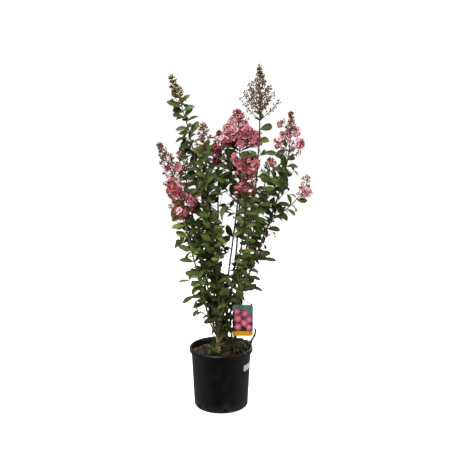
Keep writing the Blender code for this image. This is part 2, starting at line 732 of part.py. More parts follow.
def main():
    for thing in list(bpy.data.objects):
        bpy.data.objects.remove(thing)

    plastic = finish("black_plastic", (0.012, 0.012, 0.013), 0.42)
    earth = finish("bark_soil", (0.050, 0.030, 0.018), 0.95)
    bark = finish("bark", (0.30, 0.22, 0.13), 0.80)
    dry = finish("dry_twig", (0.13, 0.07, 0.04), 0.85)
    card = finish("printed_card", (0.45, 0.10, 0.16), 0.35)
    white = finish("white_film", (0.80, 0.80, 0.78), 0.40)
    look = {
        "twig": finish("young_bark", (0.20, 0.10, 0.06), 0.75),
        "leaf": finish("leaf", (0.07, 0.11, 0.03), 0.50),
        "bloom": finish("petal", (0.62, 0.13, 0.20), 0.65),
        "bud": finish("bud", (0.20, 0.09, 0.06), 0.60),
    }

    room = Room()
    room.take("pot", make_pot(plastic))
    room.take("soil", make_soil(earth))
    make_label(white)

    trunk = add("trunk", trunk_shape(), bark)
    smooth(trunk)
    room.take("wood", trunk_shape())
    trunk_room = guide(add("trunk_room", trunk_shape(GAP), bark))
    for cane in CANES:
        bough = add("bough_" + cane.name, bough_shape(cane), bark)
        boolean(bough, trunk_room)
        smooth(bough)
        room.take("wood_" + cane.name, bough_shape(cane))
    for shape in make_tag(card, white):
        room.take("tag", shape)
    for shoot in DRY_SHOOTS:
        room.take("dry", make_dry_shoot(shoot, dry))

    masses = {cane.name: Mass(cane.name, room, look) for cane in CANES}
    for cane in CANES:
        grow_stem(masses[cane.name], cane)
    long_mass = masses[LONG_SHOOT_HOST]
    grow_stem(long_mass, LONG_SHOOT)
    for cane in CANES:
        grow_head(masses[cane.name], cane)
    grow_head(long_mass, LONG_SHOOT)
    for order, cane in enumerate(CANES):
        grow_leaves(masses[cane.name], cane, order)
    grow_leaves(long_mass, LONG_SHOOT, 0.0)
    for order, cane in enumerate(CANES):
        grow_shoots(masses[cane.name], cane, order)
    low = [grow_low_shoot(shoot, room, look) for shoot in LOW_SHOOTS]
    for mass in masses.values():
        mass.join()
    for mass in low:
        boolean(mass.join(), trunk_room)


main()
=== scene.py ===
# %% [markdown]
# # A crape myrtle in a nursery pot
#
# The model that is loaded here has the plant's true sizes: a black pot, a short trunk, a bough for
# each cane, and one plain mass of leaves and sprays on each bough. The cells below dress it. Each
# one makes a real part of the plant, first as one carefully modelled leaf, flower, bud or chip of
# bark, and then as many copies that are set along the canes by a rule with a seed.
#
# The first cell loads the frame and keeps its size, which the finished plant must not outgrow.

# %% Load the frame
import math
import random
from collections import namedtuple

import bmesh
import bpy
import numpy as np
from mathutils import Matrix, Vector, noise


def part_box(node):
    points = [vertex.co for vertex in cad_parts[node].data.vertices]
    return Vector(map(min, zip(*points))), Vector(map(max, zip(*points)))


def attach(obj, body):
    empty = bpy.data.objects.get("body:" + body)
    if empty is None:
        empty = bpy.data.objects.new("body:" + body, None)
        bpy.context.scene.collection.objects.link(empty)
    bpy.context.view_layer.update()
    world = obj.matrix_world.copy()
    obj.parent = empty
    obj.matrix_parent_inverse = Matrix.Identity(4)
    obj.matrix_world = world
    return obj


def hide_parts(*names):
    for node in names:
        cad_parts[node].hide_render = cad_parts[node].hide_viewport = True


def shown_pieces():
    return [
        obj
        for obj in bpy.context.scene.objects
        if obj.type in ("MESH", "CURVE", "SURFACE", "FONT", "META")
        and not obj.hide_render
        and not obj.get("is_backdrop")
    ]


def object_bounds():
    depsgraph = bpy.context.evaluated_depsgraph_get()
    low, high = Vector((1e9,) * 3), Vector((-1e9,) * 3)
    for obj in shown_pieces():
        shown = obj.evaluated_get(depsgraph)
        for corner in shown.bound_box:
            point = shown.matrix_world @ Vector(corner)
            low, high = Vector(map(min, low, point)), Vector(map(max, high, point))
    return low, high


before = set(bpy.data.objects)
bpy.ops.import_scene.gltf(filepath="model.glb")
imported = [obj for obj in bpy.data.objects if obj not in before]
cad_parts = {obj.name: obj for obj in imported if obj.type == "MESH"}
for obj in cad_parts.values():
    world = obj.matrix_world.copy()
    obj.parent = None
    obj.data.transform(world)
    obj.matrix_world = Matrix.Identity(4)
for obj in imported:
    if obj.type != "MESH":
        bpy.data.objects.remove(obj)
cad_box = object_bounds()
scene = bpy.context.scene
TAU = 2 * math.pi
UP = Vector((0, 0, 1))
print("frame", len(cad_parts), "nodes, from", cad_box[0][:], "to", cad_box[1][:])

# %% [markdown]
# ## The camera
#
# A potted shrub looks most natural from a little above and through a longish lens: the pot's rim
# shows as a thin ellipse, and the canes keep their upright look. The camera is made first, because
# every later choice of detail depends on how near it stands.

# %% Camera
CAMERA_PLACE = (0.0197, -2.5, 1.115)
CAMERA_DIP = math.radians(8.78)
CAMERA_LENS = 51.6
CAMERA_SENSOR = 36.0

bpy.ops.object.camera_add(location=CAMERA_PLACE, rotation=(math.pi / 2 - CAMERA_DIP, 0, 0))
camera = bpy.context.object
camera.data.lens = CAMERA_LENS
camera.data.sensor_width = CAMERA_SENSOR
scene.camera = camera
scene.view_settings.view_transform = "Standard"
print("camera", tuple(round(v, 3) for v in camera.location), camera.data.lens, "mm")

# %% [markdown]
# ## Small tools for modelling
#
# Blender's operators work on whatever is selected. So each new piece starts with nothing selected,
# and points are picked in code, by their place. `settle` puts a finished piece's place into its
# mesh, so that the object itself stays at the origin.


# %% Modelling tools
def clear_selection():
    if bpy.context.object and bpy.context.object.mode != "OBJECT":
        bpy.ops.object.mode_set(mode="OBJECT")
    bpy.ops.object.select_all(action="DESELECT")


def pick(piece, test):
    """Selects the points of a piece in edit mode that pass a test on their place."""
    mesh = bmesh.from_edit_mesh(piece.data)
    for point in mesh.verts:
        point.select_set(test(point.co))
    mesh.select_flush_mode()
    bmesh.update_edit_mesh(piece.data)


def apply_modifiers(piece):
    clear_selection()
    piece.select_set(True)
    bpy.context.view_layer.objects.active = piece
    for modifier in list(piece.modifiers):
        bpy.ops.object.modifier_apply(modifier=modifier.name)


def settle(piece, name, finishes, angle=None):
    """Names a piece, gives it its materials, and puts its place into its mesh."""
    clear_selection()
    piece.select_set(True)
    bpy.context.view_layer.objects.active = piece
    bpy.ops.object.transform_apply(location=True, rotation=True, scale=True)
    piece.name = name
    piece.data.name = name
    for material in finishes:
        piece.data.materials.append(material)
    if angle is not None:
        bpy.ops.object.shade_smooth_by_angle(angle=math.radians(angle))
    return piece


def dress(piece, slot, *nodes):
    """The piece moves with the plant and stands for its nodes; its slot is not used."""
    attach(piece, "root")
    if nodes:
        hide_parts(*nodes)
    faces = len(piece.data.polygons)
    print(piece.name, faces, "faces, stands for", len(nodes), "nodes")
    return piece


# %% [markdown]
# Pots, trunks and other turned shapes are drawn like a potter's wall: one ring, extruded again and
# again, and moved and widened each time. The first and the last ring stay filled, so the shape is
# closed.


# %% Draw a shape ring by ring
def draw_rings(rings, sides):
    """Extrudes one ring through a list of (centre, radius)."""
    clear_selection()
    centre, radius = rings[0]
    bpy.ops.mesh.primitive_circle_add(vertices=sides, radius=radius, fill_type="NGON", location=centre)
    piece = bpy.context.object
    bpy.ops.object.transform_apply(location=True)
    bpy.ops.object.mode_set(mode="EDIT")
    bpy.ops.mesh.select_all(action="SELECT")
    before, wide = Vector(centre), radius
    for centre, radius in rings[1:]:
        bpy.ops.mesh.extrude_region_move()
        bpy.ops.transform.translate(value=Vector(centre) - before)
        bpy.ops.transform.resize(value=(radius / wide, radius / wide, 1), center_override=Vector(centre))
        before, wide = Vector(centre), radius
    bpy.ops.mesh.select_all(action="SELECT")
    bpy.ops.mesh.normals_make_consistent(inside=False)
    bpy.ops.object.mode_set(mode="OBJECT")
    return piece


# %% [markdown]
# ## Many copies of one shape
#
# A shrub has thousands of leaves, buds and flowers. Each is modelled once, and `take_shape` reads
# the model into arrays. A `Basket` then collects turned and scaled copies, and `empty` pours them
# out as one joined mesh, which is far lighter than thousands of objects.


# %% Shapes and baskets
Shape = namedtuple("Shape", "points faces uvs looks")


def take_shape(piece):
    """Reads a modelled piece as arrays, and removes it."""
    mesh = piece.data
    points = np.array([point.co[:] for point in mesh.vertices])
    faces = [tuple(face.vertices) for face in mesh.polygons]
    uvs = np.zeros((len(mesh.loops), 2))
    if mesh.uv_layers:
        uvs = np.array([corner.uv[:] for corner in mesh.uv_layers.active.data])
    looks = [face.material_index for face in mesh.polygons]
    bpy.data.objects.remove(piece)
    return Shape(points, faces, uvs, looks)


class Basket:
    """Collects copies of shapes, each with its own finishes, and joins them in one mesh."""

    def __init__(self, name, finishes):
        self.name = name
        self.finishes = finishes
        self.points = []
        self.faces = []
        self.uvs = []
        self.looks = []
        self.size = 0
        self.copies = 0

    def add(self, shape, place=None, looks=(0,)):
        """Takes a copy at a place, a matrix; looks gives a finish for each of its materials."""
        points = shape.points
        if place is not None:
            turn = np.array(place)
            points = points @ turn[:3, :3].T + turn[:3, 3]
        start = self.size
        self.points.append(points)
        self.faces += [tuple(start + k for k in face) for face in shape.faces]
        self.uvs.append(shape.uvs)
        self.looks += [looks[min(look, len(looks) - 1)] for look in shape.looks]
        self.size += len(points)
        self.copies += 1

    def empty(self, smooth=True):
        mesh = bpy.data.meshes.new(self.name)
        mesh.from_pydata(np.concatenate(self.points).tolist(), [], self.faces)
        mesh.uv_layers.new(name="own").data.foreach_set("uv", np.concatenate(self.uvs).ravel())
        for material in self.finishes:
            mesh.materials.append(material)
        mesh.polygons.foreach_set("material_index", self.looks)
        mesh.polygons.foreach_set("use_smooth", [smooth] * len(self.faces))
        mesh.update()
        piece = bpy.data.objects.new(self.name, mesh)
        scene.collection.objects.link(piece)
        print(self.name, self.copies, "copies")
        return piece


# %% [markdown]
# Canes, twigs and stalks are limbs: round, bent, and thinner to the end. A bevelled curve makes a good
# limb, and the boughs are made in that way further on. Here there are thousands, so one formula sets
# a ring of points square to each step of a path and joins it to the ring before. The limb's own map
# runs round it and along it.


# %% Limbs
def square_to(along):
    """Two directions across a heading, which make a right-handed set with it."""
    start = Vector((0, 1, 0)) if abs(along.x) > 0.9 else Vector((1, 0, 0))
    across = (start - along * along.dot(start)).normalized()
    return across, along.cross(across)


def outward_at(along, turn):
    """The direction across a heading, at an angle round it."""
    across, over = square_to(along)
    return across * math.cos(turn) + over * math.sin(turn)


def taper(thick, lost, steps):
    """Radii along a limb, which loses a share of its thickness on the way."""
    return [thick * (1 - lost * k / steps) for k in range(steps + 1)]


def tube(path, radii, sides):
    """A tapering limb along a path of (place, heading), closed at both ends, as a shape."""
    turns = [TAU * k / sides for k in range(sides)]
    points, uvs, faces = [], [], [tuple(reversed(range(sides)))]
    uvs += [(0, 0)] * sides
    for step, ((place, along), radius) in enumerate(zip(path, radii)):
        across, over = square_to(along)
        points += [(place + (across * math.cos(a) + over * math.sin(a)) * radius)[:] for a in turns]
        if step:
            first = (step - 1) * sides
            for k in range(sides):
                after = (k + 1) % sides
                faces.append((first + k, first + after, first + sides + after, first + sides + k))
                left, right, under, top = k / sides, (k + 1) / sides, step - 1, step
                uvs += [(left, under), (right, under), (right, top), (left, top)]
    faces.append(tuple(range(len(points) - sides, len(points))))
    uvs += [(0, 0)] * sides
    return Shape(np.array(points), faces, np.array(uvs), [0] * len(faces))


# %% [markdown]
# ## Materials as sums
#
# A surface is never one flat colour. Its colour, gloss and small relief vary together, and node
# graphs for that are easier to read as formulas. A `Wire` is one output of a node, and adding or
# multiplying wires adds the Math nodes that do it. `Graph.node` makes any other node: its settings
# come first, and then its sockets are fed with values or with wires.


# %% Sums of wires
class Wire:
    """The output of a node, on which sums can be done."""

    def __init__(self, graph, socket):
        self.graph = graph
        self.socket = socket

    def __add__(self, other):
        return self.graph.work("ADD", self, other)

    def __sub__(self, other):
        return self.graph.work("SUBTRACT", self, other)

    def __rsub__(self, other):
        return self.graph.work("SUBTRACT", other, self)

    def __mul__(self, other):
        return self.graph.work("MULTIPLY", self, other)

    def __pow__(self, other):
        return self.graph.work("POWER", self, other)

    __radd__ = __add__
    __rmul__ = __mul__


class Graph:
    """A tree of nodes that is being wired."""

    def __init__(self, tree):
        self.tree = tree

    def node(self, kind, settings=None, inputs=None, output=0):
        """Makes a node: its settings first, then the values or wires of its sockets."""
        made = self.tree.nodes.new(kind)
        for name, value in (settings or {}).items():
            setattr(made, name, value)
        for name, value in (inputs or {}).items():
            self.feed(made.inputs[name], value)
        return Wire(self, made.outputs[output])

    def work(self, operation, *values):
        """A Math node on one or two values or wires."""
        return self.node("ShaderNodeMath", {"operation": operation}, dict(enumerate(values)))

    def feed(self, socket, value):
        if isinstance(value, Wire):
            self.tree.links.new(value.socket, socket)
        else:
            socket.default_value = value


# %% [markdown]
# A `Finish` is the graph of one material. It feeds the sockets of its Principled shader by name, and
# has the few things that every surface here needs: a coordinate, a grain, a mix of two colours, a
# soft step and a small relief. Patterns read Object coordinates or the piece's own map, so that they
# stay where they are when the finish is baked.


# %% Finish tools
class Finish(Graph):
    """A material that is being wired."""

    def __init__(self, name, colour, roughness, **plain):
        self.material = bpy.data.materials.new(name)
        self.material.use_nodes = True
        super().__init__(self.material.node_tree)
        self.shader = self.tree.nodes["Principled BSDF"]
        self.drive(Base_Color=colour, Roughness=roughness, **plain)

    def drive(self, **inputs):
        """Feeds the shader's own sockets."""
        for name, value in inputs.items():
            self.feed(self.shader.inputs[name.replace("_", " ")], value)

    def axis(self, name, source="Object"):
        """One coordinate of the piece, in metres, or of its own map."""
        where = self.node("ShaderNodeTexCoord", output=source)
        return self.node("ShaderNodeSeparateXYZ", inputs={0: where}, output=name)

    def grain(self, scale, detail=2.0, stretch=(1, 1, 1)):
        """Noise from 0 to 1 on the piece's coordinates, stretched along an axis."""
        where = self.node("ShaderNodeTexCoord", output="Object")
        where = self.node("ShaderNodeMapping", inputs={"Vector": where, "Scale": stretch})
        return self.node("ShaderNodeTexNoise", inputs={"Vector": where, "Scale": scale, "Detail": detail})

    def mix(self, share, first, second):
        """A colour part of the way from the first to the second."""
        return self.node("ShaderNodeMix", {"data_type": "RGBA"}, {0: share, 6: first, 7: second}, 2)

    def ease(self, wire, start, end):
        """0 below start, 1 above end, and smooth between."""
        return self.node("ShaderNodeMapRange", {"interpolation_type": "SMOOTHSTEP"},
                         {"Value": wire, "From Min": start, "From Max": end})

    def relief(self, height, depth, strength=1.0):
        """Small relief from a height of 0 to 1, depth in metres."""
        bump = self.node("ShaderNodeBump", inputs={"Height": height, "Distance": depth, "Strength": strength})
        self.drive(Normal=bump)


def tint(red, green, blue):
    """A colour from the usual 0 to 255 values to the linear ones that shaders use."""
    parts = [value / 255 for value in (red, green, blue)]
    return tuple(v / 12.92 if v < 0.04045 else ((v + 0.055) / 1.055) ** 2.4 for v in parts) + (1.0,)


# %% [markdown]
# ## The finishes of a crape myrtle
#
# Leaves are dark green with a half gloss, a pale midrib and faint veins, and no two sprays have quite
# the same green. One green that varies by noise would look painted on. So a handful of greens is
# made by one function, from two tints each, and each leaf later gets one of them. The palest green is
# painted light, for leaves on the lit side, and the darkest is painted shade, for leaves in shade.


# %% Leaf greens
def make_leaf_finish(name, colour, light):
    """Leaf green with a pale midrib, faint side veins and a soft gloss."""
    leaf = Finish(name, colour, 0.50, Specular_IOR_Level=0.22)
    across = leaf.axis("Y", "UV")
    along = leaf.axis("X", "UV")
    off_rib = leaf.work("ABSOLUTE", across - 0.5)
    rib = 1 - leaf.ease(off_rib, 0.02, 0.07)
    veins = leaf.ease(leaf.work("SINE", (along - off_rib * 0.7) * 50), 0.6, 1.0)
    cloud = leaf.grain(38, 3)
    base = leaf.mix(leaf.ease(cloud, 0.35, 0.68), colour, light)
    base = leaf.mix(rib * 0.40 + veins * 0.08, base, tint(150, 156, 84))
    leaf.drive(Base_Color=base, Roughness=0.42 + cloud * 0.22)
    leaf.relief(rib * 0.7 + veins * 0.3, 0.0004, 0.6)
    return leaf.material


LEAF_TINTS = {
    "leaf_deep": (tint(42, 54, 22), tint(52, 68, 28)),
    "leaf_mid": (tint(56, 72, 28), tint(70, 88, 34)),
    "leaf_olive": (tint(74, 88, 34), tint(88, 102, 42)),
    # painted light: the palest green, used only for leaves on the lit left side
    "leaf_light": (tint(104, 120, 54), tint(116, 132, 62)),
    "leaf_bronze": (tint(72, 42, 32), tint(84, 64, 36)),
    # painted shade: the darkest green, used only for low leaves in the crown's shade
    "leaf_shade": (tint(18, 25, 10), tint(27, 36, 15)),
}
leaf_finishes = [make_leaf_finish(name, *pair) for name, pair in LEAF_TINTS.items()]
DEEP, MID, OLIVE, LIGHT, BRONZE, SHADE = range(6)
print("leaf greens", len(leaf_finishes))

# %% [markdown]
# Petals are thin and crinkled, so they are dull, and some light goes through them. They have a few
# pinks, because a petal fades as it ages, and one deep pink that is painted shade, for the head at the
# back. Buds are of the same kind but reddish or olive, so they share the function. The stamens' tuft
# and the cup only need a tint and a fine relief at their size.


# %% Petals and buds
def make_petal_finish(name, colour, pale):
    """Crinkled pink, paler in patches."""
    petal = Finish(name, colour, 0.62, Specular_IOR_Level=0.2, Subsurface_Weight=0.3, Subsurface_Scale=0.006)
    cloud = petal.grain(150, 3)
    crinkle = petal.grain(620, 2)
    petal.drive(Base_Color=petal.mix(petal.ease(cloud, 0.38, 0.66), colour, pale))
    petal.drive(Roughness=0.55 + crinkle * 0.15)
    petal.relief(crinkle, 0.0006, 0.5)
    return petal.material


PETAL_TINTS = {
    "petal_rose": (tint(212, 97, 110), tint(220, 128, 140)),
    "petal_pink": (tint(208, 104, 122), tint(218, 140, 154)),
    "petal_pale": (tint(242, 168, 184), tint(248, 206, 214)),
    # painted shade: a darker pink for the head at the back, which stands in shade
    "petal_deep": (tint(168, 74, 88), tint(186, 104, 116)),
}
petal_finishes = [make_petal_finish(name, *pair) for name, pair in PETAL_TINTS.items()]
ROSE, PINK, PALE, PAINTED_SHADE_PINK, STAMEN, CALYX = range(6)
stamen_finish = Finish("stamen", tint(190, 140, 84), 0.6)
stamen_finish.relief(stamen_finish.grain(900), 0.0005)
calyx_finish = Finish("calyx", tint(124, 84, 52), 0.6)
calyx_finish.relief(calyx_finish.grain(500), 0.0003)

BUD_TINTS = {
    "bud_red": (tint(126, 70, 56), tint(150, 94, 72)),
    "bud_olive": (tint(98, 88, 44), tint(122, 110, 58)),
    "bud_dark": (tint(82, 56, 38), tint(102, 76, 48)),
    "bud_pink": (tint(176, 84, 92), tint(196, 110, 112)),
}
bud_finishes = [make_petal_finish(name, *pair) for name, pair in BUD_TINTS.items()]
BUD_RED, BUD_OLIVE, BUD_DARK, BUD_PINK = range(4)
print("petal pinks", len(petal_finishes), "bud tints", len(bud_finishes))

# %% [markdown]
# Young canes are reddish brown, a few are still olive, and the trunk is tan and smooth, where the old
# bark peels in long flakes. All of them are one kind of surface: noise stretched along the limb
# streaks it, and a broader noise, cut off sharply, lays the paler patches that have peeled. Only the
# tints and the scale of the grain differ, and thinner wood has the finer grain.


# %% Bark
def make_bark_finish(name, dark, light, flake, scale):
    """Smooth bark in long streaks, with paler patches where it has peeled."""
    bark = Finish(name, light, 0.75, Specular_IOR_Level=0.3)
    streaks = bark.grain(210 * scale, 3, (1, 1, 0.16))
    patches = bark.grain(60 * scale, 2, (1, 1, 0.35))
    peeled = bark.ease(patches, 0.52, 0.60)
    base = bark.mix(bark.ease(streaks, 0.35, 0.65), dark, light)
    bark.drive(Base_Color=bark.mix(peeled, base, flake), Roughness=0.62 + streaks * 0.25)
    bark.relief(streaks * 0.6 - peeled * 0.5, 0.0007, 0.8)
    return bark.material


BARK_TINTS = {                   # dark and light streak, peeled patch, scale of the grain
    "trunk_bark": (tint(112, 98, 62), tint(154, 142, 98), tint(184, 172, 124), 1.0),
    "cane_bark": (tint(62, 40, 30), tint(94, 64, 46), tint(128, 98, 70), 1.6),
    "twig_bark": (tint(84, 52, 34), tint(112, 76, 46), tint(120, 98, 54), 3.0),
    "twig_green": (tint(96, 86, 44), tint(118, 104, 56), tint(126, 84, 56), 3.0),
    "cane_olive": (tint(100, 86, 52), tint(136, 124, 82), tint(156, 146, 102), 1.6),
    "dry_bark": (tint(40, 30, 22), tint(62, 46, 33), tint(84, 64, 46), 1.6),
}
bark_finishes = [make_bark_finish(name, *looks) for name, looks in BARK_TINTS.items()]
trunk_finish, cane_finish, twig_finish, green_twig_finish, olive_finish, dry_finish = bark_finishes
print("barks", len(bark_finishes), "plant finishes in all", len(bpy.data.materials))

# %% [markdown]
# ## The rule the plant grows by
#
# A cane leaves the trunk by its bough, and goes on as a leafy stem to a flower head at its top. The
# table below gives each cane the height on the trunk where it starts, its two ends, how strongly it
# leans out at each of them, and the length and reach of its head. These are the sizes of the solid
# model, so that what grows here keeps to the same reach. The long shoot has no bough, because it
# leaves the right cane half way up.

# %% Sizes of the canes
SOIL_TOP = 0.218
TRUNK_FOOT = Vector((-0.011, 0.0, SOIL_TOP))
TRUNK_HEAD = Vector((-0.0145, 0.0, 0.345))
TRUNK_RADIUS = 0.0088
TRUNK_FLARE = 0.0060
FLARE_FADE = 0.013
TRUNK_SWELL = 0.0028
SWELL_FADE = 0.018

BOUGH_RADIUS = 0.0040
MAIN_LIMBS = {"left": 0.0048, "right": 0.0058}
BOUGH_INSET = 0.0060
STEM_RADIUS = 0.0038
STEM_TIP_RADIUS = 0.0012
STEM_TAPER = 0.33

Cane = namedtuple("Cane", "name root foot tip early late plume spread")
CANES = [Cane(*row) for row in (
    ("left_tall", 0.341, (-0.018, 0.022, 0.380), (-0.193, 0.050, 1.309), 0.80, 2.10, 0.110, 0.034),
    ("right_tall", 0.300, (0.060, 0.018, 0.445), (0.142, -0.050, 1.338), 2.51, -0.58, 0.215, 0.074),
    ("right", 0.262, (0.085, -0.016, 0.470), (0.265, 0.000, 1.170), 1.31, -0.40, 0.180, 0.058),
    ("left", 0.341, (-0.028, -0.008, 0.375), (-0.236, -0.050, 1.054), 0.67, 1.55, 0.200, 0.052),
    ("middle_left", 0.341, (-0.005, -0.026, 0.375), (-0.065, -0.080, 1.129), 0.62, 0.28, 0.120, 0.042),
    ("centre", 0.315, (0.030, 0.032, 0.395), (0.064, 0.050, 1.176), 4.00, -2.00, 0.160, 0.076),
    ("centre_back", 0.318, (-0.019, 0.048, 0.385), (-0.009, 0.150, 1.098), 1.40, 0.60, 0.110, 0.042),
    ("front", 0.270, (0.006, -0.062, 0.380), (0.092, -0.200, 1.013), 2.40, -0.30, 0.155, 0.050),
    ("front_left", 0.285, (-0.048, -0.046, 0.375), (-0.179, -0.120, 0.925), 1.00, 1.10, 0.150, 0.052),
    ("back_left", 0.285, (-0.048, 0.052, 0.380), (-0.165, 0.180, 1.025), 1.10, 1.00, 0.100, 0.036),
    ("back_right", 0.275, (0.046, 0.062, 0.385), (0.202, 0.170, 0.989), 1.20, 0.80, 0.100, 0.036),
    ("back", 0.255, (0.012, 0.092, 0.390), (0.085, 0.270, 0.960), 1.20, 0.70, 0.120, 0.044),
)]
LONG_SHOOT = Cane("long_shoot", None, (0.186, -0.004, 0.745), (0.335, 0.000, 0.920), 1.75, 0.00, 0.075, 0.026)
GROWING = CANES + [LONG_SHOOT]

LowShoot = namedtuple("LowShoot", "name root tip")
LOW_SHOOTS = [LowShoot(*row) for row in (
    ("low_left", 0.300, (-0.094, -0.040, 0.405)),
    ("low_front", 0.240, (-0.045, -0.072, 0.256)),
    ("low_right", 0.247, (0.078, -0.050, 0.266)),
    ("low_back", 0.248, (-0.050, 0.078, 0.272)),
    ("inner_left", 0.312, (-0.078, 0.014, 0.380)),
    ("inner_front", 0.316, (-0.026, -0.080, 0.372)),
    ("inner_right", 0.290, (0.024, -0.052, 0.340)),
    ("inner_back", 0.296, (-0.040, 0.075, 0.350)),
)]
FOLIAGE_NODES = sorted(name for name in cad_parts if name.startswith("foliage_"))
print(len(CANES), "canes,", len(LOW_SHOOTS), "low shoots,", len(FOLIAGE_NODES), "masses to replace")

# %% [markdown]
# A cubic is given by its two ends and by how fast it leaves the one and arrives at the other. So a
# cane can start steep, lean out and end steep again, which a straight line or an arc could not. A
# bough starts inside the trunk and ends with its cane's own heading, so that the two meet without a
# kink. Leaves and sprays ask these functions where the stem is and which way it runs.


# %% Lines of the canes
def blend(start, end, leave, arrive, share):
    """A cubic from start to end, and its heading, for the two slopes at its ends."""
    t = share
    place = (start * (2 * t**3 - 3 * t**2 + 1) + leave * (t**3 - 2 * t**2 + t)
             + end * (3 * t**2 - 2 * t**3) + arrive * (t**3 - t**2))
    slope = (start * (6 * t**2 - 6 * t) + leave * (3 * t**2 - 4 * t + 1)
             + end * (6 * t - 6 * t**2) + arrive * (3 * t**2 - 2 * t))
    return place, slope.normalized()


def curve_path(start, end, leave, arrive, steps, reach=1.0):
    """Steps along that cubic, from its start to a share of it."""
    return [blend(start, end, leave, arrive, reach * k / steps) for k in range(steps + 1)]


def flat(vector, factor):
    """The level part of a vector times a factor, with its rise kept."""
    return Vector((vector.x * factor, vector.y * factor, vector.z))


def cane_at(cane, share):
    foot, tip = Vector(cane.foot), Vector(cane.tip)
    run = tip - foot
    return blend(foot, tip, flat(run, cane.early), flat(run, cane.late), share)


def cane_length(cane):
    return (Vector(cane.tip) - Vector(cane.foot)).length


def trunk_at(height):
    share = (height - TRUNK_FOOT.z) / (TRUNK_HEAD.z - TRUNK_FOOT.z)
    return TRUNK_FOOT.lerp(TRUNK_HEAD, share)


def trunk_radius(height):
    flare = TRUNK_FLARE * math.exp(-(height - TRUNK_FOOT.z) / FLARE_FADE)
    swell = TRUNK_SWELL * math.exp(-(TRUNK_HEAD.z - height) / SWELL_FADE)
    return TRUNK_RADIUS + flare + swell


def bough_path(cane, steps):
    """From inside the trunk out to the cane's foot, where it has the cane's own heading."""
    foot = Vector(cane.foot)
    start = trunk_at(cane.root)
    outward = foot - start
    outward.z = 0
    start += outward.normalized() * BOUGH_INSET
    run = foot - start
    heading = cane_at(cane, 0)[1]
    arrive = heading * (run.z / heading.z)
    return curve_path(start, foot, run * 2 - arrive, arrive, steps)


def stem_radius(share):
    return max(STEM_TIP_RADIUS, STEM_RADIUS * (1 - share) ** STEM_TAPER)


print("longest cane", round(max(cane_length(cane) for cane in CANES), 3), "m")

# %% [markdown]
# ## One leaf
#
# A crape myrtle leaf is about 50 mm long and half as wide, widest just past its middle, folded a
# little along its midrib and arched down towards its tip. It could be a flat card with a picture
# of a leaf, but real outlines and folds catch the light from every side. Here a grid is narrowed
# row by row to the outline, its midrib is sunk, and a bend modifier arches it. Four leaves with
# different bends are enough for a whole shrub once each copy has its own size and turn.

# %% Model the leaves
LEAF_LENGTH = 0.058
LEAF_WIDTH = 0.0262
LEAF_ROWS = 8
LEAF_OUTLINE = (0.05, 0.42, 0.72, 0.91, 1.00, 0.99, 0.88, 0.62, 0.14)   # width at each row
LEAF_BENDS = ((18, 0.34), (38, 0.26), (58, 0.20), (76, 0.30))          # arch in degrees, fold
LEAF_SWEEP = 28                                                         # degrees to one side
FOLD_STEPS = ((0.1, 0.32), (0.4, 0.10))    # how far from the midrib, and what share of the fold it rises
ROW_REACH = 0.01                  # a point this near to a row of the grid belongs to it


def bend_leaf(leaf, degrees):
    bend = leaf.modifiers.new("bend", "SIMPLE_DEFORM")
    bend.deform_method = "BEND"
    bend.deform_axis = "Z"
    bend.angle = math.radians(degrees)
    apply_modifiers(leaf)


def model_leaf(arch, fold, sweep):
    clear_selection()
    bpy.ops.mesh.primitive_grid_add(x_subdivisions=LEAF_ROWS, y_subdivisions=4, size=1, location=(0.5, 0, 0))
    leaf = bpy.context.object
    bpy.ops.object.transform_apply(location=True)
    bpy.ops.object.mode_set(mode="EDIT")
    for beyond, share in FOLD_STEPS:
        pick(leaf, lambda place: abs(place.y) > beyond)
        bpy.ops.transform.translate(value=(0, 0, fold * share))
    for row, width in enumerate(LEAF_OUTLINE):
        pick(leaf, lambda place: abs(place.x - row / LEAF_ROWS) < ROW_REACH)
        wide = width * LEAF_WIDTH / LEAF_LENGTH
        bpy.ops.transform.resize(value=(1, wide, wide), center_override=(0, 0, 0))
    bpy.ops.mesh.select_all(action="SELECT")
    bpy.ops.transform.resize(value=(LEAF_LENGTH,) * 3, center_override=(0, 0, 0))
    bpy.ops.object.mode_set(mode="OBJECT")
    bend_leaf(leaf, sweep)
    leaf.rotation_euler = (math.pi / 2, 0, 0)
    bpy.ops.object.transform_apply(rotation=True)
    bend_leaf(leaf, arch)
    leaf.rotation_euler = (-math.pi / 2, 0, 0)
    bpy.ops.object.transform_apply(rotation=True)
    return take_shape(leaf)


leaf_shapes = [model_leaf(arch, fold, LEAF_SWEEP) for arch, fold in LEAF_BENDS]
mirrored_shapes = [model_leaf(arch, fold, -LEAF_SWEEP) for arch, fold in LEAF_BENDS]
for (arch, fold), shape in zip(LEAF_BENDS, leaf_shapes):
    reach = shape.points.max(axis=0) - shape.points.min(axis=0)
    print("leaf bent", arch, "degrees:", np.round(reach * 1000, 1), "mm,", len(shape.faces), "faces")

# %% [markdown]
# ## One flower
#
# Each flower has six crinkled petals, and each petal is a ruffled blade on a thin stalk, like a
# spoon. They stand round a tuft of yellow stamens in a small cup. One petal is modelled from a
# grid, the spin operator sets six of them round the middle, and a little random movement of the
# points ruffles them. The seed decides the ruffle, so two flowers and a half-open one are made. Each
# row of a petal is picked by its place, and waits well aside once it is done, where no later pick
# can take it.

